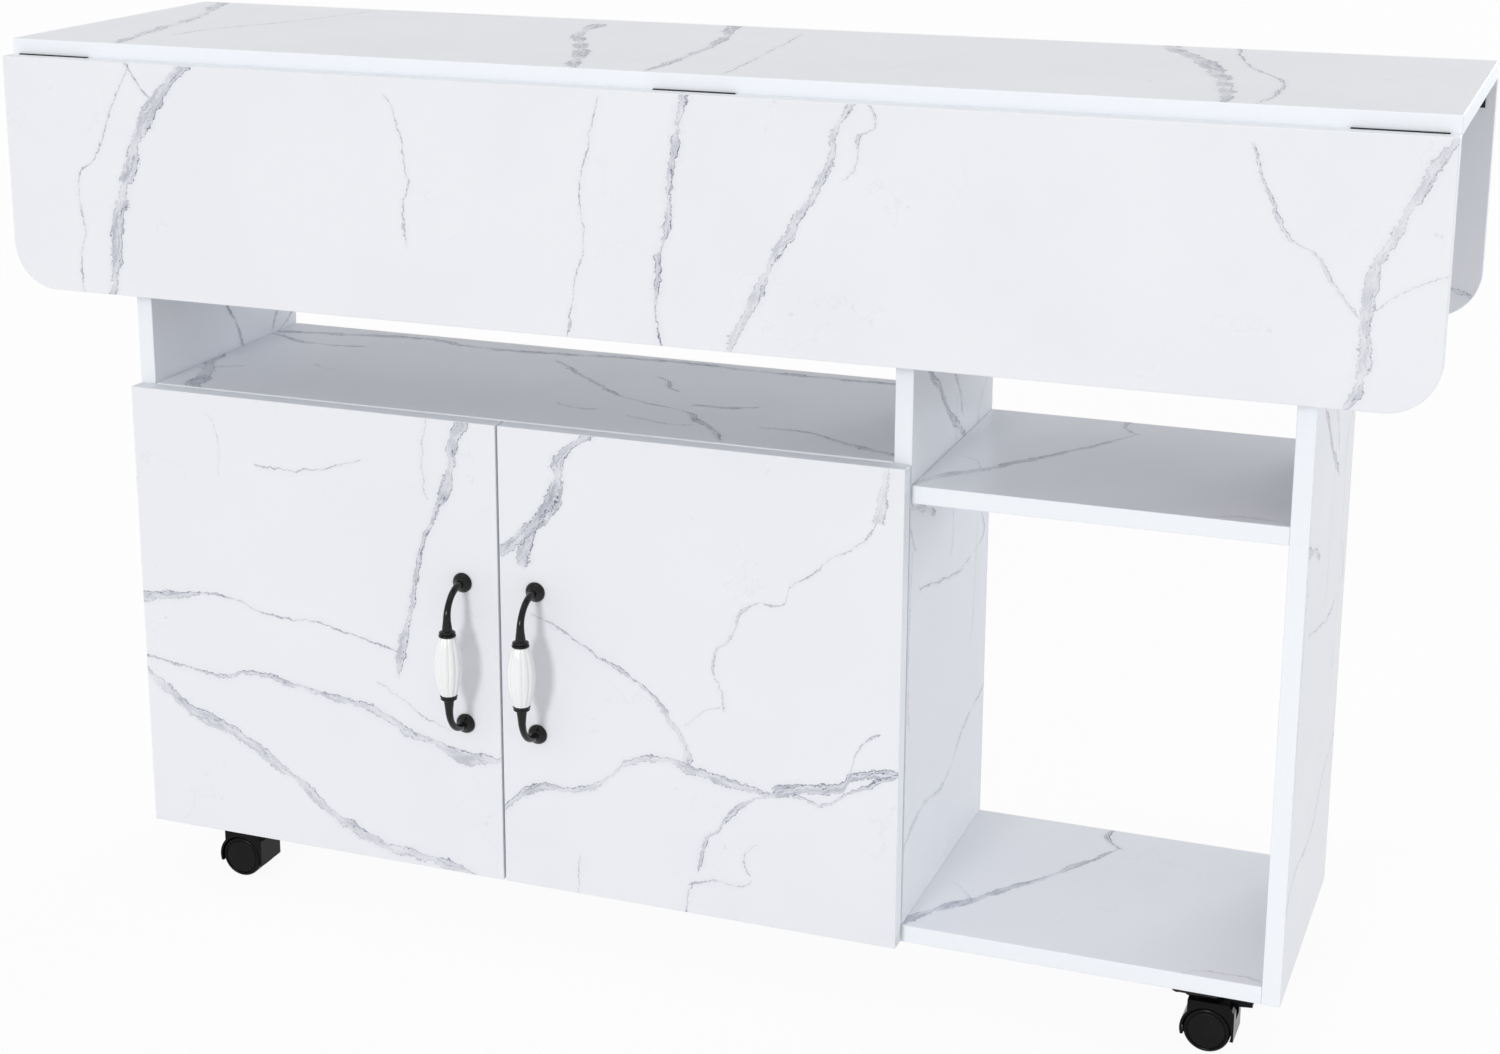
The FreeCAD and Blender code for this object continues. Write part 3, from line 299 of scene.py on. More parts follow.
# ------------ vein routes (millimetres)
# Each vein: the way it runs ("up" the board or "across" it), half width at its start and end,
# depth of tone, and the places it passes through as (across, up).
LEAF_VEINS = [
    ("up", 8.0, 5.0, 1.05, [(-412, 772), (-424, 752), (-447, 728), (-468, 693), (-480, 661), (-488, 637),
        (-494, 609), (-496, 581), (-506, 545)]),
    ("up", 1.0, 1.3, 0.70, [(-470, 772), (-476, 750), (-499, 705), (-511, 673), (-529, 653), (-530, 634),
        (-527, 610), (-532, 585), (-530, 545)]),
    ("up", 1.8, 1.4, 0.85, [(-478, 757), (-466, 737), (-450, 722)]),
    ("up", 0.8, 1.1, 0.52, [(-234, 742), (-221, 711), (-216, 678), (-215, 665), (-219, 649), (-218, 615)]),
    ("up", 0.9, 1.1, 0.68, [(-46, 750), (-56, 708), (-63, 672), (-61, 640), (-67, 604), (-76, 548)]),
    ("up", 4.8, 1.2, 1.10, [(28, 772), (25, 753), (19, 725), (14, 693), (12, 662), (2, 607), (2, 581),
        (9, 548)]),
    ("up", 3.0, 5.5, 0.80, [(164, 772), (159, 753), (148, 732), (146, 714), (133, 686), (114, 656),
        (98, 630), (88, 606), (79, 588), (70, 572), (60, 545)]),
    ("up", 1.6, 2.2, 0.60, [(170, 756), (178, 739), (167, 731), (166, 712), (153, 695)]),
    ("up", 4.5, 5.5, 0.72, [(610, 772), (598, 752), (585, 733), (574, 707), (562, 683), (552, 663),
        (546, 633), (544, 616), (547, 598), (543, 574), (533, 545)]),
    ("up", 1.2, 2.8, 0.62, [(459, 742), (471, 709), (490, 675), (505, 668), (523, 643), (540, 620)]),
    ("across", 0.9, 1.0, 0.50, [(550, 629), (575, 645), (606, 661)]),
]
TOP_VEINS = [
    ("up", 6.0, 4.0, 1.00, [(-582, 160), (-575, 143), (-530, 14), (-519, -51), (-495, -160)]),
    ("up", 0.9, 1.2, 0.80, [(-484, -90), (-478, -51), (-435, 48), (-410, 140)]),
    ("up", 6.0, 6.5, 1.25, [(-170, 125), (-160, 53), (-119, -34), (-74, -160)]),
    ("up", 6.0, 2.0, 1.20, [(-54, 160), (-49, 136), (-23, 18), (-16, -76), (-14, -160)]),
    ("up", 0.9, 1.2, 0.70, [(20, 120), (25, 96), (37, -14), (50, -150)]),
    ("up", 9.0, 6.0, 1.30, [(334, 160), (340, 141), (375, 73), (408, -20), (422, -73), (434, -160)]),
    ("up", 1.3, 1.8, 1.00, [(392, 160), (394, 149), (420, 46), (461, -57), (457, -160)]),
    ("across", 1.0, 1.4, 0.50, [(-335, 149), (-300, 146), (-262, 140)]),
    ("across", 0.7, 0.8, 0.30, [(150, -85), (175, -20), (198, 60)]),
]
LEFT_DOOR_VEINS = [
    ("up", 6.4, 3.6, 1.10, [(-186, 478), (-188, 464), (-195, 445), (-198, 421), (-208, 391), (-220, 368)]),
    ("up", 2.0, 3.8, 0.90, [(-219, 370), (-226, 353), (-234, 319), (-240, 288), (-249, 256), (-255, 226)]),
    ("up", 0.8, 1.0, 0.50, [(-219, 478), (-221, 461), (-224, 430), (-220, 390)]),
    ("across", 5.0, 1.2, 0.80, [(-520, 266), (-509, 268), (-478, 274), (-446, 281)]),
    ("across", 0.9, 0.9, 0.72, [(-448, 281), (-412, 278), (-369, 267), (-342, 268), (-296, 260),
        (-246, 249)]),
    ("across", 1.0, 5.4, 0.85, [(-520, 216), (-509, 213), (-477, 209), (-433, 204), (-399, 212),
        (-371, 208), (-331, 202), (-299, 197), (-265, 189), (-243, 178), (-217, 172), (-186, 163),
        (-146, 173)]),
    ("across", 6.0, 5.0, 0.90, [(-520, 208), (-509, 198), (-486, 182), (-463, 166), (-435, 158),
        (-405, 144), (-382, 130), (-355, 115), (-329, 93), (-306, 80), (-276, 68), (-237, 63), (-205, 57),
        (-165, 46)]),
    ("across", 0.9, 0.9, 0.50, [(-275, 222), (-249, 207), (-226, 194), (-203, 186)]),
    ("across", 0.9, 0.9, 0.60, [(-390, 407), (-360, 403), (-340, 406), (-280, 422)]),
    ("up", 0.6, 0.7, 0.28, [(-440, 448), (-424, 424), (-425, 390)]),
]
RIGHT_DOOR_VEINS = [
    ("up", 6.0, 8.5, 1.30, [(-52, 478), (-72, 462), (-95, 444), (-100, 419), (-107, 396), (-129, 375),
        (-162, 346)]),
    ("up", 4.0, 6.5, 1.05, [(-103, 404), (-126, 372), (-134, 342)]),
    ("across", 1.0, 1.8, 0.80, [(-127, 304), (-100, 293), (-78, 280), (-49, 266), (-25, 253)]),
    ("up", 1.8, 6.5, 0.80, [(-28, 255), (-6, 236), (6, 219), (13, 203), (16, 186)]),
    ("across", 3.2, 4.6, 0.92, [(-166, 108), (-154, 120), (-116, 147), (-82, 150), (-52, 168), (-39, 180),
        (-3, 189), (32, 181), (64, 176), (96, 173)]),
    ("across", 4.8, 3.4, 1.05, [(90, 174), (127, 184), (149, 187), (160, 200), (205, 207)]),
    ("across", 2.0, 2.4, 0.90, [(108, 177), (133, 172), (157, 185), (205, 209)]),
    ("across", 2.4, 1.4, 0.85, [(158, 202), (166, 224), (184, 240)]),
    ("up", 3.8, 1.6, 0.95, [(92, 174), (64, 158), (45, 135), (32, 120), (26, 92)]),
    ("across", 0.8, 0.8, 0.55, [(12, 222), (30, 236), (51, 245)]),
    ("up", 1.2, 2.6, 0.72, [(49, 240), (44, 263), (40, 284), (54, 308), (63, 327), (86, 342)]),
    ("across", 1.0, 1.5, 0.65, [(82, 339), (99, 341), (104, 355), (118, 363), (142, 385), (166, 401),
        (181, 423)]),
    ("up", 4.0, 6.5, 0.60, [(178, 416), (183, 445), (185, 476)]),
    ("up", 0.9, 0.9, 0.62, [(13, 44), (14, 54), (21, 80)]),
    ("across", 1.0, 0.9, 0.62, [(16, 76), (36, 86), (65, 86), (76, 99)]),
    ("up", 1.0, 1.0, 0.58, [(74, 96), (67, 109), (79, 124)]),
    ("up", 0.8, 0.9, 0.42, [(-81, 44), (-85, 63), (-83, 90)]),
]
BACK_VEINS = LEFT_DOOR_VEINS[:7] + RIGHT_DOOR_VEINS[2:8]
CABINET_TOP_VEINS = [
    ("across", 3.6, 3.2, 1.35, [(-520, 84), (-499, 86), (-442, 95), (-392, 103), (-345, 108), (-283, 96),
        (-205, 100), (-100, 112), (20, 106), (200, 112)]),
    ("across", 3.0, 1.4, 1.20, [(-520, 80), (-493, 75), (-434, 55), (-380, 64)]),
    ("up", 8.0, 7.0, 1.25, [(-452, -130), (-462, -112), (-472, -77), (-494, -31), (-500, 5)]),
    ("across", 4.0, 3.0, 0.80, [(-490, -62), (-479, -58), (-452, -40)]),
    ("up", 2.6, 4.0, 1.35, [(-201, 81), (-169, 49), (-132, 15), (-99, -13), (-63, -32), (-25, -43),
        (0, -71), (19, -88), (36, -120)]),
    ("up", 1.8, 2.6, 1.20, [(-96, 57), (-79, 49), (-61, 22), (-48, 14)]),
    ("across", 1.2, 1.6, 0.60, [(-136, -54), (-117, -66), (-94, -64)]),
    ("across", 1.2, 1.4, 0.50, [(-67, -72), (-43, -81), (-24, -86), (0, -72)]),
    ("across", 1.4, 2.4, 1.20, [(-26, -22), (-3, -21), (19, -16), (32, -2)]),
    ("across", 1.4, 4.0, 1.10, [(51, -69), (86, -67), (116, -79), (142, -92), (190, -109)]),
    ("across", 1.0, 1.0, 0.45, [(-399, -15), (-385, -20), (-368, -28)]),
]
BAY_VEINS = [
    ("across", 9.0, 2.8, 1.25, [(190, -130), (201, -112), (218, -85), (239, -62), (259, -33), (280, -6),
        (305, 33), (325, 66), (338, 90)]),
    ("up", 2.2, 3.0, 1.15, [(337, 84), (326, 98), (321, 113), (324, 130)]),
    ("up", 2.2, 1.0, 0.70, [(241, -64), (231, -41), (214, -29)]),
    ("across", 1.2, 1.6, 0.45, [(430, -128), (462, -112), (500, -118)]),
]
SIDE_VEINS = [
    ("across", 3.6, 4.2, 1.30, [(-96, 551), (-78, 529), (-48, 509), (-25, 486), (8, 464), (40, 444)]),
    ("up", 1.2, 3.0, 0.75, [(96, 372), (99, 359), (104, 338), (80, 331), (62, 329)]),
    ("across", 1.0, 1.4, 0.70, [(-96, 352), (-62, 344), (-32, 339), (30, 328), (66, 330)]),
    ("across", 3.8, 3.0, 0.80, [(-130, 436), (-121, 428), (-88, 418), (-50, 402)]),
    ("up", 1.0, 1.2, 0.60, [(-124, 420), (-122, 408), (-104, 386)]),
    ("up", 0.9, 1.2, 0.55, [(-115, 394), (-118, 362), (-122, 300), (-112, 230)]),
    ("up", 2.0, 3.2, 0.80, [(-20, 560), (-1, 508), (15, 489), (26, 466)]),
    ("up", 3.0, 3.4, 0.55, [(110, 500), (102, 481), (86, 470), (74, 440)]),
    ("up", 0.6, 1.0, 0.45, [(12, 530), (7, 482), (3, 364), (-16, 340)]),
    ("up", 0.8, 0.8, 0.45, [(74, 470), (80, 429), (83, 358), (66, 240)]),
    ("across", 2.6, 1.2, 0.60, [(-130, 128), (-70, 150), (-10, 146), (60, 176), (130, 190)]),
    ("up", 1.0, 2.4, 0.55, [(-70, 760), (-52, 704), (-60, 650), (-34, 590)]),
]
LEFT_END_VEINS = [
    ("up", 1.6, 2.8, 1.20, [(-8, 524), (-3, 510), (5, 499), (15, 487), (25, 464)]),
    ("up", 2.0, 1.2, 0.90, [(94, 494), (89, 485), (78, 466)]),
    ("up", 1.6, 2.2, 0.95, [(120, 488), (114, 479), (92, 464)]),
    ("up", 3.0, 6.0, 0.90, [(25, 464), (20, 410), (-6, 352), (-20, 290), (-48, 214), (-62, 130),
        (-90, 40)]),
    ("across", 1.0, 2.4, 0.60, [(-18, 300), (20, 286), (62, 262), (104, 250), (130, 236)]),
] + SIDE_VEINS[-1:]
REAR_LEAF_VEINS = LEAF_VEINS + [
    ("across", 2.0, 2.6, 0.80, [(-604, 570), (-595, 573), (-585, 576), (-575, 578), (-556, 586)]),
]


# ------------ materials
BOARD_SPECULAR = 0.35
HAIRLINE_TONE = 0.07
SPECK_TONE = 0.16


def vein_mask(tree, ground, run, cross, rise, start_half, end_half, depth, route):
    """Mask of one vein, drawn along its route on the board's own millimetre axes."""
    along, across = (rise, cross) if run == "up" else (cross, rise)
    spots = [(up, over) if run == "up" else (over, up) for over, up in route]
    first, last = spots[0][0], spots[-1][0]
    margin = 1.0
    low = min(over for _, over in spots) - margin
    high = max(over for _, over in spots) + margin
    passed = step_between(tree, along, first, last, smooth=False)
    curve = tree.nodes.new("ShaderNodeFloatCurve")
    link(tree, passed, curve.inputs["Value"])
    line = curve.mapping.curves[0]
    places = [((spot - first) / (last - first), (over - low) / (high - low)) for spot, over in spots]
    line.points[0].location = places[0]
    line.points[1].location = places[-1]
    for place in places[1:-1]:
        line.points.new(*place)
    curve.mapping.update()
    vein = place_group(tree, VEIN, Along=passed, Travel=along, Across=across, Route=curve.outputs[0],
                       Low=low, High=high, Start_Half=start_half, End_Half=end_half, Depth=depth,
                       Flow=ground["Flow"], Jag=ground["Jag"], Grain=ground["Grain"])
    return vein["Mask"]


def make_marble(name, cross_axis, rise_axis, veins, flip=1.0, shift=(0.0, 0.0, 0.0)):
    """Marble-print melamine board with veins on two of its axes."""
    material, tree, shader = new_material(name)
    place = object_place(tree, shift)
    ground = place_group(tree, PRINT_GROUND, Vector=place)
    cross = times(tree, ground[cross_axis], flip)
    rise = ground[rise_axis]
    total = times(tree, ground["Hairline"], HAIRLINE_TONE)
    specks = times(tree, ground["Speck"], SPECK_TONE)
    total = larger(tree, total, specks)
    for run, start_half, end_half, depth, route in veins:
        mask = vein_mask(tree, ground, run, cross, rise, start_half, end_half, depth, route)
        total = larger(tree, total, mask)
    wear = place_group(tree, WEAR, Vector=place, Amount=0.10, Scale=0.6)
    cloud = step_between(tree, ground["Cloud"], 0.35, 0.75, 0.0, 0.35)
    paper = blend(tree, cloud, BOARD_WHITE, BOARD_SHADE)
    link(tree, blend(tree, total, paper, VEIN_GREY), shader.inputs["Base Color"])
    rough = maths(tree, "MULTIPLY_ADD", wear["Smudge"], 0.06, 0.34)
    link(tree, maths(tree, "MULTIPLY_ADD", ground["Film"], 0.06, rough), shader.inputs["Roughness"])
    set_inputs(tree, shader, Specular_IOR_Level=BOARD_SPECULAR)
    add_bump(tree, shader, ground["Film"], 0.06, TEXTURE_DEPTH)
    return material


def make_plain(name, colour, worn_colour, roughness, metallic=0.0, wear_amount=0.5, scale=1.0,
               bump=0.10, coat=0.0, coat_roughness=0.1, specular=0.5):
    """Plain finish with smudges, fine scratches and a fine surface texture."""
    material, tree, shader = new_material(name)
    wear = place_group(tree, WEAR, Vector=object_place(tree), Amount=wear_amount, Scale=scale)
    link(tree, blend(tree, wear["Mask"], colour, worn_colour), shader.inputs["Base Color"])
    rough = maths(tree, "MULTIPLY_ADD", wear["Smudge"], 0.10, roughness)
    link(tree, maths(tree, "MULTIPLY_ADD", wear["Height"], 0.05, rough), shader.inputs["Roughness"])
    set_inputs(tree, shader, Metallic=metallic, Coat_Weight=coat, Coat_Roughness=coat_roughness,
               Specular_IOR_Level=specular)
    add_bump(tree, shader, wear["Height"], bump, TEXTURE_DEPTH)
    return material


def make_wood(name):
    """Turned beech with grain along its length."""
    material, tree, shader = new_material(name)
    lengthwise = stretched_place(tree, object_place(tree), Scale=(0.25, 1.0, 1.0))
    grain = noise(tree, lengthwise, 600.0, 4.0, 0.6)
    link(tree, blend(tree, grain, BEECH, BEECH_DARK), shader.inputs["Base Color"])
    link(tree, step_between(tree, grain, 0.0, 1.0, 0.55, 0.75), shader.inputs["Roughness"])
    add_bump(tree, shader, grain, 0.2, 0.0003)
    return material


EDGE_BAND = make_plain("edge_band", BAND_WHITE, BAND_SHADE, 0.36, wear_amount=0.25, scale=0.7, bump=0.05,
                       specular=BOARD_SPECULAR)
HINGE_STEEL = make_plain("black_hinge_steel", BLACK_METAL, WORN_METAL, 0.34, metallic=0.6, scale=1.5)
BRIGHT_STEEL = make_plain("zinc_plated_steel", ZINC, ZINC_DULL, 0.26, metallic=1.0, scale=2.0)
PULL_METAL = make_plain("polished_black_metal", POLISHED_BLACK, BLACK_METAL, 0.09, wear_amount=0.3,
                        scale=2.0, bump=0.02, coat=0.10, coat_roughness=0.03, specular=0.25)
CERAMIC = make_plain("glazed_ceramic", GLAZE, GLAZE_SHADE, 0.10, wear_amount=0.3, scale=1.5, bump=0.03,
                     coat=0.5, coat_roughness=0.04)
HOOD_PLASTIC = make_plain("caster_hood_plastic", BLACK_PLASTIC, DUSTY_PLASTIC, 0.16, wear_amount=0.3,
                          scale=2.5, bump=0.05, specular=0.10)
WHEEL_PLASTIC = make_plain("caster_wheel_plastic", BLACK_PLASTIC, DUSTY_PLASTIC, 0.38, wear_amount=0.5,
                           scale=2.5, bump=0.14, specular=0.12)
WOOD = make_wood("beech_dowel")


# ------------ mesh helpers
def settle_mesh(name, bm):
    """Mesh data from a working mesh, which is freed."""
    mesh = bpy.data.meshes.new(name)
    bm.to_mesh(mesh)
    bm.free()
    return mesh


def add_object(name, data):
    added = bpy.data.objects.new(name, data)
    bpy.context.scene.collection.objects.link(added)
    return added


def node_shape(node):
    """A node's own solid as a working mesh, with its doubled corners merged."""
    bm = bmesh.new()
    bm.from_mesh(frame["nodes"][node].data)
    bmesh.ops.remove_doubles(bm, verts=bm.verts, dist=0.00001)
    return bm


def block(low, high):
    """Box between two corners, in metres."""
    bm = bmesh.new()
    bmesh.ops.create_cube(bm, size=1.0)
    low, high = Vector(low), Vector(high)
    bmesh.ops.scale(bm, vec=high - low, verts=bm.verts)
    bmesh.ops.translate(bm, vec=(low + high) / 2.0, verts=bm.verts)
    return bm


def round_edges(bm, edges, offset, segments):
    bmesh.ops.bevel(bm, geom=list(edges), offset=offset * MM, offset_type="OFFSET", affect="EDGES",
                    segments=segments, profile=0.5, material=-1, clamp_overlap=True)


def lathe(profile, centre, axis, steps):
    """Turned shape: (radius, along) places in mm, spun round an axis through centre."""
    bm = bmesh.new()
    axis = Vector(axis)
    side = axis.orthogonal().normalized()
    centre = Vector(centre)
    verts = [bm.verts.new((centre + side * radius + axis * along) * MM) for radius, along in profile]
    edges = [bm.edges.new(pair) for pair in zip(verts, verts[1:])]
    bmesh.ops.spin(bm, geom=verts + edges, cent=centre * MM, axis=axis, angle=2.0 * math.pi,
                   steps=steps, use_merge=True)
    bmesh.ops.remove_doubles(bm, verts=bm.verts, dist=0.000001)
    bmesh.ops.recalc_face_normals(bm, faces=bm.faces)
    return bm


def joined(parts):
    """One mesh from several, in order."""
    whole = bmesh.new()
    for part in parts:
        scrap = settle_mesh("scrap", part)
        whole.from_mesh(scrap)
        bpy.data.meshes.remove(scrap)
    return whole


def even_shading(piece):
    """Let each large face keep its own flat shading beside its rounded edges."""
    modifier = piece.modifiers.new("even_shading", "WEIGHTED_NORMAL")
    modifier.keep_sharp = True
    modifier.weight = 60


def finish(name, bm, materials, body, replaces=(), sharp=35.0):
    """Make the object, shade it with crisp edges, and fix it to its body."""
    bm.normal_update()
    for edge in bm.edges:
        flat = len(edge.link_faces) == 2 and edge.calc_face_angle(0.0) < math.radians(sharp)
        edge.smooth = flat
    for face in bm.faces:
        face.smooth = True
    mesh = settle_mesh(name, bm)
    for material in materials:
        mesh.materials.append(material)
    piece = add_object(name, mesh)
    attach(piece, body)
    if replaces:
        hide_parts(*replaces)
    return piece


def carve(piece, cutter_mesh):
    """Cut a cutter's volume out of a piece."""
    mesh = settle_mesh("cutter", cutter_mesh)
    cutter = add_object("cutter", mesh)
    modifier = piece.modifiers.new("relief", "BOOLEAN")
    modifier.operation = "DIFFERENCE"
    modifier.solver = "EXACT"
    modifier.object = cutter
    bpy.context.view_layer.update()
    applied = piece.evaluated_get(bpy.context.evaluated_depsgraph_get())
    cut = bpy.data.meshes.new_from_object(applied)
    piece.modifiers.clear()
    old = piece.data
    piece.data = cut
    cut.name = piece.name
    bpy.data.meshes.remove(old)
    bpy.data.objects.remove(cutter)
    bpy.data.meshes.remove(mesh)


# ------------ boards (sizes in millimetres)
EDGE_ROUND = 0.9
SHELF_ROUND = 1.5
LEAF_CORNER = 40.0
CORNER_STEPS = 18
EDGE_STEPS = 3
CRISP = math.radians(45)
PRINTED = 0.93  # faces turned this squarely to the thickness carry the marble print
HINGE_PLACES = (-558.0, 28.0, 558.0)
HINGE_LENGTH = 68.0
RELIEF_RADIUS = 2.4
RELIEF_SLACK = 0.3
PLATE_FACE = 1.7
PIN_RADIUS = 1.0


def leaf_pin_line():
    """How far out and how high the leaf hinge pins lie, in mm."""
    low, high = (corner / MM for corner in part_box("leaf_hinge_pins"))
    return high.y - PIN_RADIUS, (low.z + high.z) / 2.0


def board_mesh(node, thin, corner_radius, edge_round):
    """Board in its node's box; thin is the index of the axis through its thickness."""
    low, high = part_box(node)
    bm = block(low, high)
    if corner_radius:
        middle = (low[2] + high[2]) / 2.0
        corners = [
            edge
            for edge in bm.edges
            if all(vert.co.z < middle for vert in edge.verts)
            and abs(edge.verts[0].co[thin] - edge.verts[1].co[thin]) > MM
        ]
        round_edges(bm, corners, corner_radius, CORNER_STEPS)
    bm.normal_update()
    crisp = [edge for edge in bm.edges if edge.calc_face_angle(0.0) > CRISP]
    round_edges(bm, crisp, edge_round, EDGE_STEPS)
    bm.normal_update()
    for face in bm.faces:
        face.material_index = 0 if abs(face.normal[thin]) > PRINTED else 1
    return bm


def make_board(name, node, thin, body, marble, corner_radius=0.0, reliefs=None, edge_round=EDGE_ROUND):
    bm = board_mesh(node, thin, corner_radius, edge_round)
    piece = finish(name, bm, [marble, EDGE_BAND], body, [node])
    if reliefs:
        carve(piece, joined(reliefs))
    even_shading(piece)


def knuckle_reliefs(hand):
    """Rods that clear the hinge knuckles along one edge of the top; hand is -1 at the front."""
    out, level = leaf_pin_line()
    length = HINGE_LENGTH + 2.0 * RELIEF_SLACK
    profile = [(0, 0), (RELIEF_RADIUS, 0), (RELIEF_RADIUS, length), (0, length)]
    rods = []
    for place in HINGE_PLACES:
        start = (-hand * place - HINGE_LENGTH / 2.0 - RELIEF_SLACK, hand * out, level)
        rods.append(lathe(profile, start, X, 24))
    return rods


def make_top_and_leaves():
    top = make_marble("marble_top", "X", "Y", TOP_VEINS)
    leaf_front = make_marble("marble_front_leaf", "X", "Z", LEAF_VEINS)
    leaf_rear = make_marble("marble_rear_leaf", "X", "Z", REAR_LEAF_VEINS, flip=-1.0)
    make_board("top_board", "top_panel", 2, "carcass", top,
               reliefs=knuckle_reliefs(-1) + knuckle_reliefs(1))
    make_board("front_drop_leaf", "front_leaf_panel", 1, "front_leaf", leaf_front, LEAF_CORNER,
               knuckle_reliefs(-1))
    make_board("rear_drop_leaf", "rear_leaf_panel", 1, "rear_leaf", leaf_rear, LEAF_CORNER,
               knuckle_reliefs(1))


def make_carcass_and_doors():
    left_door = make_marble("marble_left_door", "X", "Z", LEFT_DOOR_VEINS)
    right_door = make_marble("marble_right_door", "X", "Z", RIGHT_DOOR_VEINS)
    cabinet_top = make_marble("marble_cabinet_top", "X", "Y", CABINET_TOP_VEINS)
    bay = make_marble("marble_bay", "X", "Y", BAY_VEINS)
    side = make_marble("marble_side", "Y", "Z", SIDE_VEINS)
    left_end = make_marble("marble_left_end", "Y", "Z", LEFT_END_VEINS)
    back = make_marble("marble_back", "X", "Z", BACK_VEINS, flip=-1.0, shift=(0.16, 0.0, 0.0))
    for name, node, thin, marble in (
        ("left_end_board", "left_side_panel", 0, left_end),
        ("right_end_board", "right_side_panel", 0, side),
        ("divider_board", "divider_panel", 0, side),
        ("bottom_board", "bottom_panel", 2, bay),
        ("right_shelf_board", "right_bay_shelf", 2, bay),
        ("inner_shelf_board", "cabinet_inner_shelf", 2, cabinet_top),
        ("back_board", "cabinet_back_panel", 1, back),
    ):
        make_board(name, node, thin, "carcass", marble)
    make_board("cabinet_top_board", "cabinet_top_shelf", 2, "carcass", cabinet_top, edge_round=SHELF_ROUND)
    make_board("left_door_board", "left_door_panel", 1, "left_door", left_door)
    make_board("right_door_board", "right_door_panel", 1, "right_door", right_door)


# ------------ carried-over nodes
def dress_nodes():
    """Give the hardware nodes that keep their own mesh their finish."""
    finishes = {
        "raw_wood": WOOD,
        "black_steel": HINGE_STEEL,
        "bright_steel": BRIGHT_STEEL,
        "pull_metal": PULL_METAL,
        "grip_ceramic": CERAMIC,
        "hood_plastic": HOOD_PLASTIC,
        "wheel_plastic": WHEEL_PLASTIC,
        "marble_board": EDGE_BAND,
    }
    for row in frame["record"]["subparts"]:
        for slot in frame["nodes"][row["node"]].material_slots:
            slot.material = finishes[row["material_slot"]]


# ------------ hardware (sizes in millimetres)
PLATE_SPREAD = 13.5  # hinge pin to the screws of either plate
PLATE_SCREWS = (-24.0, 0.0, 24.0)
PLATE_HEAD = 2.9  # radius of a screw head
TRACK_SCREW_IN = 6.5
TRACK_FACE = 14.5
TRACK_SCREWS = (14.0, 86.0)
SUPPORT_FACE = 493.0
SUPPORT_SCREWS = (74.0, 106.0)
SUPPORT_SCREW_IN = 14.0
SUPPORT_HEAD = 3.2
PLATE_ROUND = 0.3
BAR_ROUND = 0.35
MOULDED_ROUND = 0.5
CAM_LENGTH = 13.0  # a cam lock longer than this from left to right faces down
BAY_MIDDLE = 300.0
CAM_RADIUS = 7.4
CAM_PROUD = 0.5


STEEL = (HINGE_STEEL, "black_steel")
HOOD = (HOOD_PLASTIC, "hood_plastic")


def softened(name, node, width, look, body):
    """A node's own solid with its edges rounded over; look is its material and slot, and the slot is not
    used.
    """
    material, slot = look
    bm = node_shape(node)
    bmesh.ops.dissolve_limit(bm, angle_limit=math.radians(1.5), verts=bm.verts, edges=bm.edges)
    for face in bm.faces:
        face.material_index = 0
    piece = finish(name, bm, [material], body, [node])
    bevel = piece.modifiers.new("rounded_edges", "BEVEL")
    bevel.width = width * MM
    bevel.segments = 2
    bevel.limit_method = "ANGLE"
    bevel.angle_limit = math.radians(40)
    bevel.harden_normals = True


def solid_boxes(node):
    """Corners in mm of each separate solid of a node, in order."""
    bm = node_shape(node)
    left = set(bm.verts)
    boxes = []
    for seed in list(bm.verts):
        if seed not in left:
            continue
        group, edge_of = [seed], [seed]
        left.discard(seed)
        while edge_of:
            vert = edge_of.pop()
            for edge in vert.link_edges:
                other = edge.other_vert(vert)
                if other in left:
                    left.discard(other)
                    group.append(other)
                    edge_of.append(other)
        low = [min(vert.co[axis] for vert in group) / MM for axis in range(3)]
        high = [max(vert.co[axis] for vert in group) / MM for axis in range(3)]
        boxes.append((Vector(low), Vector(high)))
    bm.free()
    return boxes


def raised(bm, faces, rise):
    """Extrude faces and move the new ones along Z; rise is in mm."""
    made = bmesh.ops.extrude_face_region(bm, geom=faces)
    moved = [item for item in made["geom"] if isinstance(item, bmesh.types.BMVert)]
    bmesh.ops.translate(bm, vec=(0, 0, rise * MM), verts=moved)


def cross_head(centre, axis, radius, height, recess=0.55):
    """Screw head or cam face with a cross recess; axis points out of the surface."""
    skirt, sunk, core, arm_edge = 0.55, 0.8, 0.17, 0.82
    bm = bmesh.new()
    bmesh.ops.create_circle(bm, cap_ends=True, radius=radius * MM, segments=24)
    raised(bm, bm.faces[:], height * skirt)
    bm.faces.ensure_lookup_table()
    crown = max(bm.faces, key=lambda face: face.calc_center_median().z)
    for share, rise in ((0.16, 0.30), (0.28, 0.15)):
        bmesh.ops.inset_region(bm, faces=[crown], thickness=share * radius * MM, depth=0.0)
        bmesh.ops.translate(bm, vec=(0, 0, height * rise * MM), verts=crown.verts)
    for vert in crown.verts:
        turn = math.atan2(vert.co.y, vert.co.x)
        reach = recess if abs(math.cos(2.0 * turn)) > arm_edge else core
        length = math.hypot(vert.co.x, vert.co.y)
        vert.co.x *= reach * radius * MM / length
        vert.co.y *= reach * radius * MM / length
    raised(bm, [crown], -height * sunk)
    bmesh.ops.delete(bm, geom=[crown], context="FACES")
    bmesh.ops.recalc_face_normals(bm, faces=bm.faces)
    turn = Vector(axis).to_track_quat("Z", "Y").to_matrix().to_4x4()
    bm.transform(Matrix.Translation(Vector(centre) * MM) @ turn)
    return bm


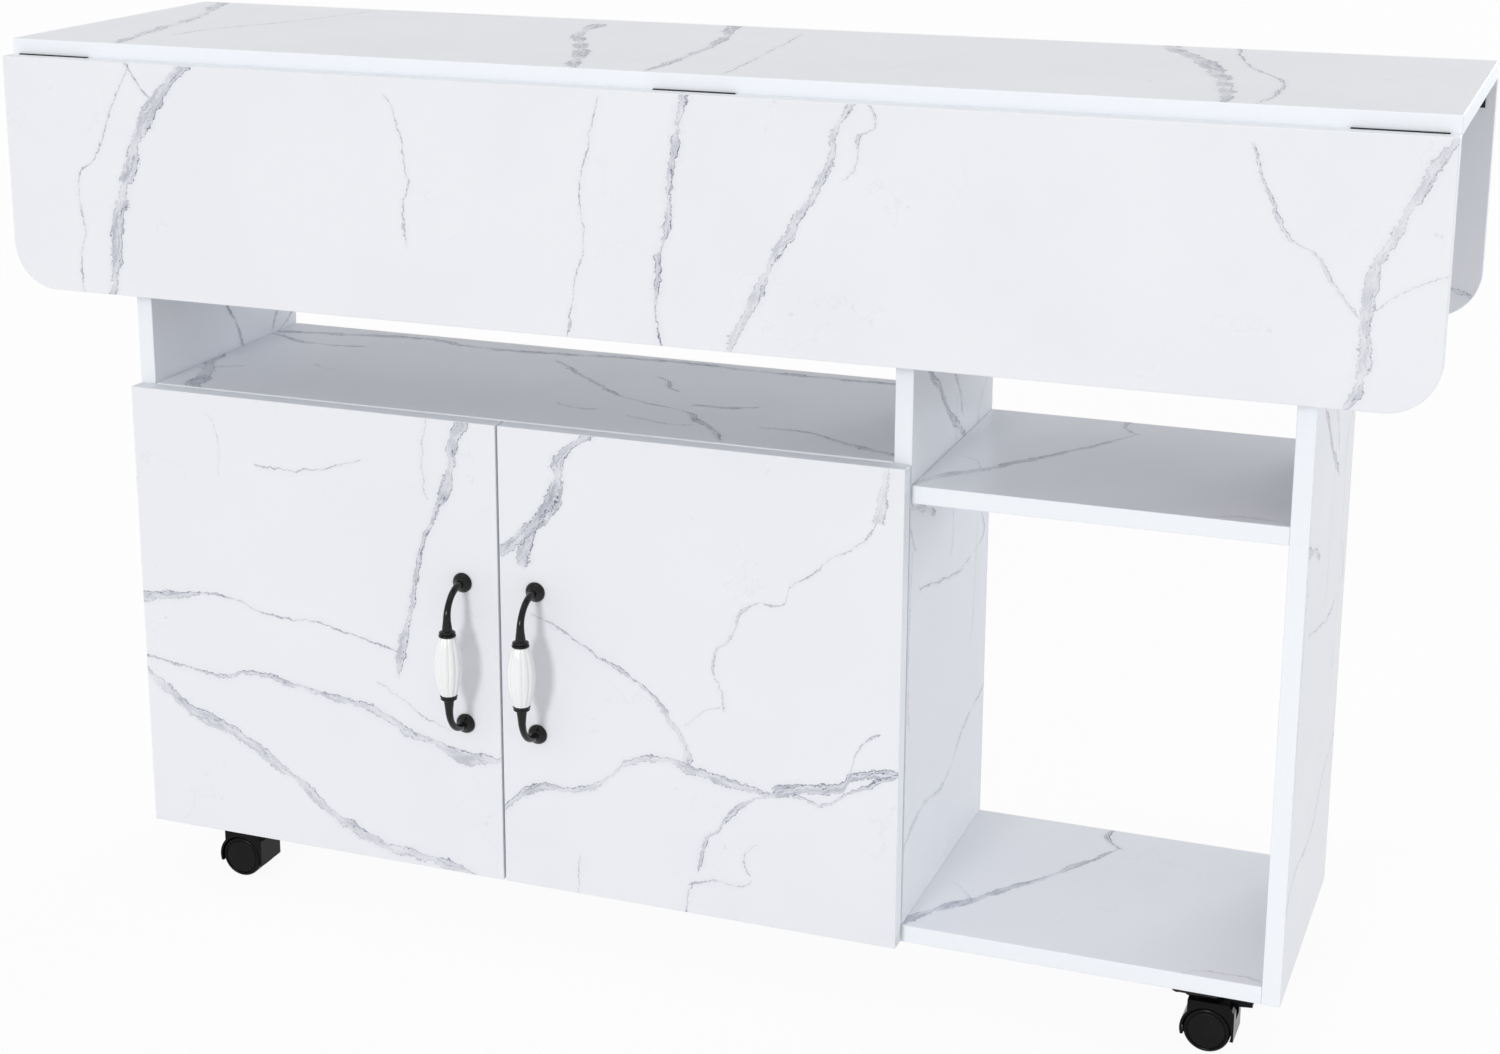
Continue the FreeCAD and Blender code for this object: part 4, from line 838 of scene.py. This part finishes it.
def make_screws(name, places, radius, body):
    """One piece from several screw heads; places are (centre, axis)."""
    heads = [cross_head(centre, axis, radius, 0.55 * radius) for centre, axis in places]
    finish(name, joined(heads), [HINGE_STEEL], body, sharp=40.0)


def make_hinge_screws(row, hand):
    """Screws in both rows of hinge plates along one edge of the top."""
    pin_out, pin_level = leaf_pin_line()
    for kind, body, axis, y, z in (
        ("top", "carcass", -Z, pin_out - PLATE_SPREAD, pin_level - PLATE_FACE),
        ("leaf", row + "_leaf", Y * -hand, pin_out - PLATE_FACE, pin_level - PLATE_SPREAD),
    ):
        node = "%s_hinge_%s_plates" % (row, kind)
        places = []
        for low, high in solid_boxes(node):
            middle = (low.x + high.x) / 2.0
            for along in PLATE_SCREWS:
                places.append((Vector((middle + along, hand * y, z)), axis))
        make_screws("%s_screws" % node, places, PLATE_HEAD, body)


def make_leaf_tracks(row, hand):
    """Slotted tracks under one leaf and the screws that hold them."""
    leaf = row + "_leaf"
    places = []
    for low, high in solid_boxes(leaf + "_tracks"):
        inner = low.x if low.x > 0 else high.x
        middle = inner + math.copysign(TRACK_SCREW_IN, inner)
        face = (low.y if hand > 0 else high.y) + hand * TRACK_FACE
        for up in TRACK_SCREWS:
            places.append((Vector((middle, face, low.z + up)), Y * -hand))
    make_screws(leaf + "_track_screws", places, PLATE_HEAD, leaf)
    softened(row + "_slotted_tracks", leaf + "_tracks", PLATE_ROUND, STEEL, leaf)


def make_leaf_support(name, hand, sign):
    """Bracket plate, folding bar and screws of one leaf support; sign is -1 at the left."""
    softened(name + "_plate", name + "_bracket", PLATE_ROUND, STEEL, "carcass")
    softened(name + "_bar", name + "_strut", BAR_ROUND, STEEL, name + "_strut")
    low, high = (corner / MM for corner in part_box(name + "_bracket"))
    places = [
        (Vector((sign * SUPPORT_FACE, hand * out, up)), X * -sign)
        for out in SUPPORT_SCREWS
        for up in (low.z + SUPPORT_SCREW_IN, high.z - SUPPORT_SCREW_IN)
    ]
    make_screws(name + "_screws", places, SUPPORT_HEAD, "carcass")


def make_leaf_hardware():
    for row, hand in (("front", -1.0), ("rear", 1.0)):
        make_hinge_screws(row, hand)
        make_leaf_tracks(row, hand)
        for side, sign in (("left", -1.0), ("right", 1.0)):
            make_leaf_support("%s_%s_support" % (row, side), hand, sign)


def make_cam_faces():
    """Zinc cam locks with a cross slot, a touch proud of the boards."""
    faces = []
    for low, high in solid_boxes("cam_locks"):
        middle = (low + high) / 2.0
        if high.x - low.x > CAM_LENGTH:
            centre, axis = Vector((middle.x, middle.y, low.z)), -Z
        elif middle.x < BAY_MIDDLE:
            centre, axis = Vector((high.x, middle.y, middle.z)), X
        else:
            centre, axis = Vector((low.x, middle.y, middle.z)), -X
        faces.append(cross_head(centre, axis, CAM_RADIUS, CAM_PROUD, 0.5))
    finish("cam_lock_faces", joined(faces), [BRIGHT_STEEL], "carcass", ["cam_locks"],
           sharp=40.0)


# ------------ door pulls (sizes in millimetres)
PULL_SPREAD = 64.0  # middle of the grip to either rosette
PULL_BEND = 24.0
ARM_THIN, ARM_WAIST, ARM_FLARED = 3.3, 2.8, 4.7
ARM_LAP = 3.0  # how far an arm's ends run on inside rosette and collar
FLARE_FROM = 0.45
BEND_STEPS = 14
DROP_STEPS = 6
ROSETTE = [(0, 0), (8.4, 0), (8.8, 0.5), (8.7, 1.3), (8.2, 2.3), (7.2, 3.5), (5.9, 4.5), (4.6, 5.3),
           (3.9, 6.4), (0, 6.4)]
COLLAR = [(0, 0.1), (6.7, 0.1), (7.4, 0.5), (7.6, 1.1), (7.4, 1.7), (6.7, 2.1), (6.3, 2.4), (6.5, 2.8),
          (7.0, 3.2), (7.1, 3.7), (6.8, 4.2), (5.6, 4.7), (4.9, 5.3), (0, 5.3)]
FLUTES = 12
FLUTE_DEPTH = 0.9
GRIP_STEPS = 144
GRIP_LEVELS = 28


def ring(bm, centre, turn, radius, steps):
    """Open circle of edges; turn tips it about X from lying flat."""
    place = Matrix.Translation(Vector(centre) * MM) @ Matrix.Rotation(turn, 4, "X")
    made = bmesh.ops.create_circle(bm, cap_ends=False, radius=radius * MM, segments=steps, matrix=place)
    return made["verts"], list({edge for vert in made["verts"] for edge in vert.link_edges})


def close_tube(bm, rings):
    """Skin from ring to ring, and a cap on each end."""
    for first, second in zip(rings, rings[1:]):
        bmesh.ops.bridge_loops(bm, edges=first + second)
    bmesh.ops.holes_fill(bm, edges=rings[0] + rings[-1])
    bmesh.ops.recalc_face_normals(bm, faces=bm.faces)


def arm_stations(face_y, axis_y, half):
    """Places down one arm as (y, height over the grip's middle, turn)."""
    straight = face_y - axis_y - PULL_BEND
    stations = [(face_y - ARM_LAP, PULL_SPREAD, 0.0), (face_y - straight, PULL_SPREAD, 0.0)]
    for index in range(1, BEND_STEPS + 1):
        turn = math.pi / 2.0 * index / BEND_STEPS
        y = face_y - straight - PULL_BEND * math.sin(turn)
        stations.append((y, PULL_SPREAD - PULL_BEND * (1.0 - math.cos(turn)), turn))
    low = PULL_SPREAD - PULL_BEND
    foot = half + ARM_LAP
    for index in range(1, DROP_STEPS + 1):
        stations.append((axis_y, low + (foot - low) * index / DROP_STEPS, math.pi / 2.0))
    return stations


def arm_mesh(x, face_y, axis_y, middle_z, half, hand):
    """Rosette, swept arm and ringed collar; hand is 1 for the upper arm."""
    rosette = lathe(ROSETTE, (x, face_y, middle_z + hand * PULL_SPREAD), -Y, 40)
    stations = arm_stations(face_y, axis_y, half)
    bm = bmesh.new()
    rings = []
    for index, (y, z, turn) in enumerate(stations):
        share = index / (len(stations) - 1.0)
        narrowed = ARM_THIN + (ARM_WAIST - ARM_THIN) * math.sin(math.pi * min(share / 0.9, 1.0))
        flare = max(0.0, (share - FLARE_FROM) / (1.0 - FLARE_FROM)) ** 1.4
        radius = narrowed + (ARM_FLARED - ARM_THIN) * flare
        tip = -math.pi / 2.0 + turn if hand > 0 else math.pi / 2.0 - turn
        rings.append(ring(bm, (x, y, middle_z + hand * z), tip, radius, 28)[1])
    close_tube(bm, rings)
    collar = lathe(COLLAR, (x, axis_y, middle_z + hand * half), Z * hand, 48)
    return joined([rosette, bm, collar])


def grip_mesh(x, axis_y, middle_z, half, swell_radius):
    """Ceramic barrel with soft flutes."""
    end_radius = 0.60 * swell_radius
    bm = bmesh.new()
    rings = []
    for index in range(GRIP_LEVELS + 1):
        level = -math.cos(math.pi * index / GRIP_LEVELS)
        peak = end_radius + (swell_radius - end_radius) * (1.0 - level ** 2)
        middle = Vector((x, axis_y, middle_z + level * half))
        verts, edges = ring(bm, middle, 0.0, 1.0, GRIP_STEPS)
        for vert in verts:
            out = vert.co - middle * MM
            turn = math.atan2(out.y, out.x)
            lobe = abs(math.sin(FLUTES * turn / 2.0)) ** 0.7
            radius = peak - FLUTE_DEPTH * (1.0 - 0.55 * level ** 2) * (1.0 - lobe)
            vert.co = middle * MM + out.normalized() * radius * MM
        rings.append(edges)
    close_tube(bm, rings)
    return bm


def make_pulls():
    for door in ("left_door", "right_door"):
        low, high = (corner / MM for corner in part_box(door + "_pull_grip"))
        face_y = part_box(door + "_panel")[0].y / MM
        middle = (low + high) / 2.0
        half = (high.z - low.z) / 2.0
        for kind, hand in (("upper", 1.0), ("lower", -1.0)):
            node = "%s_pull_%s_arm" % (door, kind)
            shape = arm_mesh(middle.x, face_y, middle.y, middle.z, half, hand)
            finish(node + "_cast", shape, [PULL_METAL], door, [node], sharp=50.0)
        barrel = grip_mesh(middle.x, middle.y, middle.z, half, (high.x - low.x) / 2.0)
        finish(door + "_pull_barrel", barrel, [CERAMIC], door, [door + "_pull_grip"],
               sharp=60.0)


# ------------ casters (sizes in millimetres)
CASTER_OUT = 104.0
CASTER_ALONG = 443.0
MOUNT_LEVEL = 50.0  # underside of the mounting plates
MOUNT_SCREWS = (-15.0, 15.0)
MOUNT_HEAD = 2.6
WHEEL_GAP = 3.0  # caster's middle plane to a wheel's inner face
WHEEL_BORE = 2.6
RIM = (0.2, 3.5)  # in from the tread, between which the wheel's face is polished
COVER_SUNK = 0.15
# Inner and outer face of a wheel, as (in from the tread, in from that face).
WHEEL_INNER = [(1.6, 0.0), (0.5, 0.4), (0.0, 1.5)]
WHEEL_OUTER = [(0.0, 2.6), (0.25, 1.5), (0.9, 0.6), (1.7, 0.1), (2.4, 0.0), (3.0, 0.3), (3.4, 1.1),
               (3.9, 1.2), (4.2, 0.6), (4.8, 0.25), (5.6, COVER_SUNK)]


def wheel_pair(x, y, radius, far):
    """Two turned wheels with ringed covers over the axle's ends."""
    profile = [(WHEEL_BORE, WHEEL_GAP)]
    profile += [(radius - inset, WHEEL_GAP + rise) for inset, rise in WHEEL_INNER]
    profile += [(radius - inset, far - drop) for inset, drop in WHEEL_OUTER]
    profile.append((0, far - COVER_SUNK))
    wheels = [lathe(profile, (x, y, radius), Y * hand, 64) for hand in (-1.0, 1.0)]
    for wheel in wheels:
        for face in wheel.faces:
            place = face.calc_center_median() / MM
            inset = radius - math.hypot(place.x - x, place.z - radius)
            if RIM[0] < inset < RIM[1]:
                face.material_index = 1
    return wheels


def make_caster(name, x, y, braked):
    low, high = (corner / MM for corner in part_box(name + "_wheels"))
    middle = (low + high) / 2.0
    wheels = wheel_pair(middle.x, middle.y, middle.z, high.y - middle.y)
    finish(name + "_wheel_pair", joined(wheels), [WHEEL_PLASTIC, HOOD_PLASTIC], name + "_wheelset",
           [name + "_wheels"])
    softened(name + "_shell", name + "_hood", MOULDED_ROUND, HOOD, name + "_swivel")
    softened(name + "_mount", name + "_plate", PLATE_ROUND, STEEL, "carcass")
    corners = [
        (Vector((x + dx, y + dy, MOUNT_LEVEL)), -Z)
        for dx in MOUNT_SCREWS
        for dy in MOUNT_SCREWS
    ]
    make_screws(name + "_mount_screws", corners, MOUNT_HEAD, "carcass")
    if braked:
        softened(name + "_pedal", name + "_brake_lever", MOULDED_ROUND, HOOD, name + "_lever")


def make_casters():
    for row, y in (("front", -CASTER_OUT), ("rear", CASTER_OUT)):
        for end, x in (("left", -CASTER_ALONG), ("right", CASTER_ALONG)):
            make_caster("caster_%s_%s" % (row, end), x, y, braked=end == "right")


# ------------ studio (metres and radians)
FLOOR_HALF = 14.0
FLOOR_GLOW = 0.93  # share of the floor's look that is its own white
BACKDROP_WHITE = (1.0, 1.0, 1.0, 1.0)
REFLECTED_SHARE = 0.8  # strength of the backdrop in reflections; it is 1 to the camera
SOFT_LIGHT = (1.0, 1.0, 0.965, 1.0)
SOFT_STRENGTH = 0.595
CAMERA_PLACE = (0.7417, -1.9840, 1.0372)
CAMERA_DIP = 0.25456
CAMERA_TURN = 0.37046


def seen_directly(tree, path):
    """1 for camera, glossy and transmission rays, 0 for the rays that only light the table."""
    seen = larger(tree, path.outputs["Is Camera Ray"], path.outputs["Is Glossy Ray"])
    return larger(tree, seen, path.outputs["Is Transmission Ray"])


def make_floor():
    bm = bmesh.new()
    bmesh.ops.create_grid(bm, x_segments=2, y_segments=2, size=FLOOR_HALF)
    mesh = settle_mesh("studio_floor", bm)
    floor = add_object("studio_floor", mesh)
    material, tree, shader = new_material("studio_floor")
    set_inputs(tree, shader, Base_Color=(0.90, 0.90, 0.91, 1.0), Roughness=0.9, Specular_IOR_Level=0.1)
    glow = tree.nodes.new("ShaderNodeEmission")
    path = tree.nodes.new("ShaderNodeLightPath")
    mix = tree.nodes.new("ShaderNodeMixShader")
    link(tree, times(tree, seen_directly(tree, path), FLOOR_GLOW), mix.inputs["Fac"])
    link(tree, shader.outputs["BSDF"], mix.inputs[1])
    link(tree, glow.outputs["Emission"], mix.inputs[2])
    output = next(node for node in tree.nodes if node.type == "OUTPUT_MATERIAL")
    link(tree, mix.outputs["Shader"], output.inputs["Surface"])
    mesh.materials.append(material)


def make_world():
    world = bpy.data.worlds.new("studio")
    bpy.context.scene.world = world
    world.use_nodes = True
    tree = world.node_tree
    tree.nodes.clear()
    path = tree.nodes.new("ShaderNodeLightPath")
    seen = seen_directly(tree, path)
    backdrop = tree.nodes.new("ShaderNodeBackground")
    brightness = maths(tree, "MULTIPLY_ADD", path.outputs["Is Camera Ray"], 1.0 - REFLECTED_SHARE,
                       REFLECTED_SHARE)
    set_inputs(tree, backdrop, Color=BACKDROP_WHITE, Strength=brightness)
    soft = tree.nodes.new("ShaderNodeBackground")
    set_inputs(tree, soft, Color=SOFT_LIGHT, Strength=SOFT_STRENGTH)
    mix = tree.nodes.new("ShaderNodeMixShader")
    link(tree, seen, mix.inputs["Fac"])
    link(tree, soft.outputs[0], mix.inputs[1])
    link(tree, backdrop.outputs[0], mix.inputs[2])
    output = tree.nodes.new("ShaderNodeOutputWorld")
    link(tree, mix.outputs[0], output.inputs["Surface"])


def make_lamp(name, towards, strength, softness, colour):
    """Distant lamp; towards is the way from the table to the lamp, softness its width in degrees."""
    light = bpy.data.lights.new(name, "SUN")
    light.color = colour
    light.energy = strength
    light.angle = math.radians(softness)
    lamp = add_object(name, light)
    lamp.rotation_euler = Vector(towards).to_track_quat("Z", "Y").to_euler()


def make_camera():
    """Camera at the photograph's place; the frame is 1500 by 1054."""
    camera = bpy.data.cameras.new("camera")
    frame_width = 1500.0
    frame_height = 1054.0
    focal_pixels = 2553.0
    centre_across, centre_down = 698.18, 377.76
    camera.sensor_width = 36.0
    camera.sensor_fit = "HORIZONTAL"
    camera.lens = focal_pixels / frame_width * camera.sensor_width
    camera.shift_x = (frame_width / 2.0 - centre_across) / frame_width
    camera.shift_y = -(frame_height / 2.0 - centre_down) / frame_width
    camera.clip_end = 100.0
    eye = add_object("camera", camera)
    eye.location = CAMERA_PLACE
    eye.rotation_euler = (math.pi / 2.0 - CAMERA_DIP, 0.0, CAMERA_TURN)
    bpy.context.scene.camera = eye


def make_studio():
    make_floor()
    make_world()
    make_lamp("key_lamp", (-0.13, -1.00, 0.29), 1.03, 12.0, (1.00, 1.00, 1.00))
    make_lamp("overhead_lamp", (0.00, -0.15, 1.00), 0.28, 50.0, (1.00, 0.96, 1.00))
    make_lamp("rear_lamp", (0.35, 1.00, 0.17), 1.80, 30.0, (0.93, 1.00, 1.05))
    make_camera()
    bpy.context.scene.view_settings.view_transform = "Standard"


make_studio()
make_top_and_leaves()
make_carcass_and_doors()
dress_nodes()
make_leaf_hardware()
make_cam_faces()
make_pulls()
make_casters()
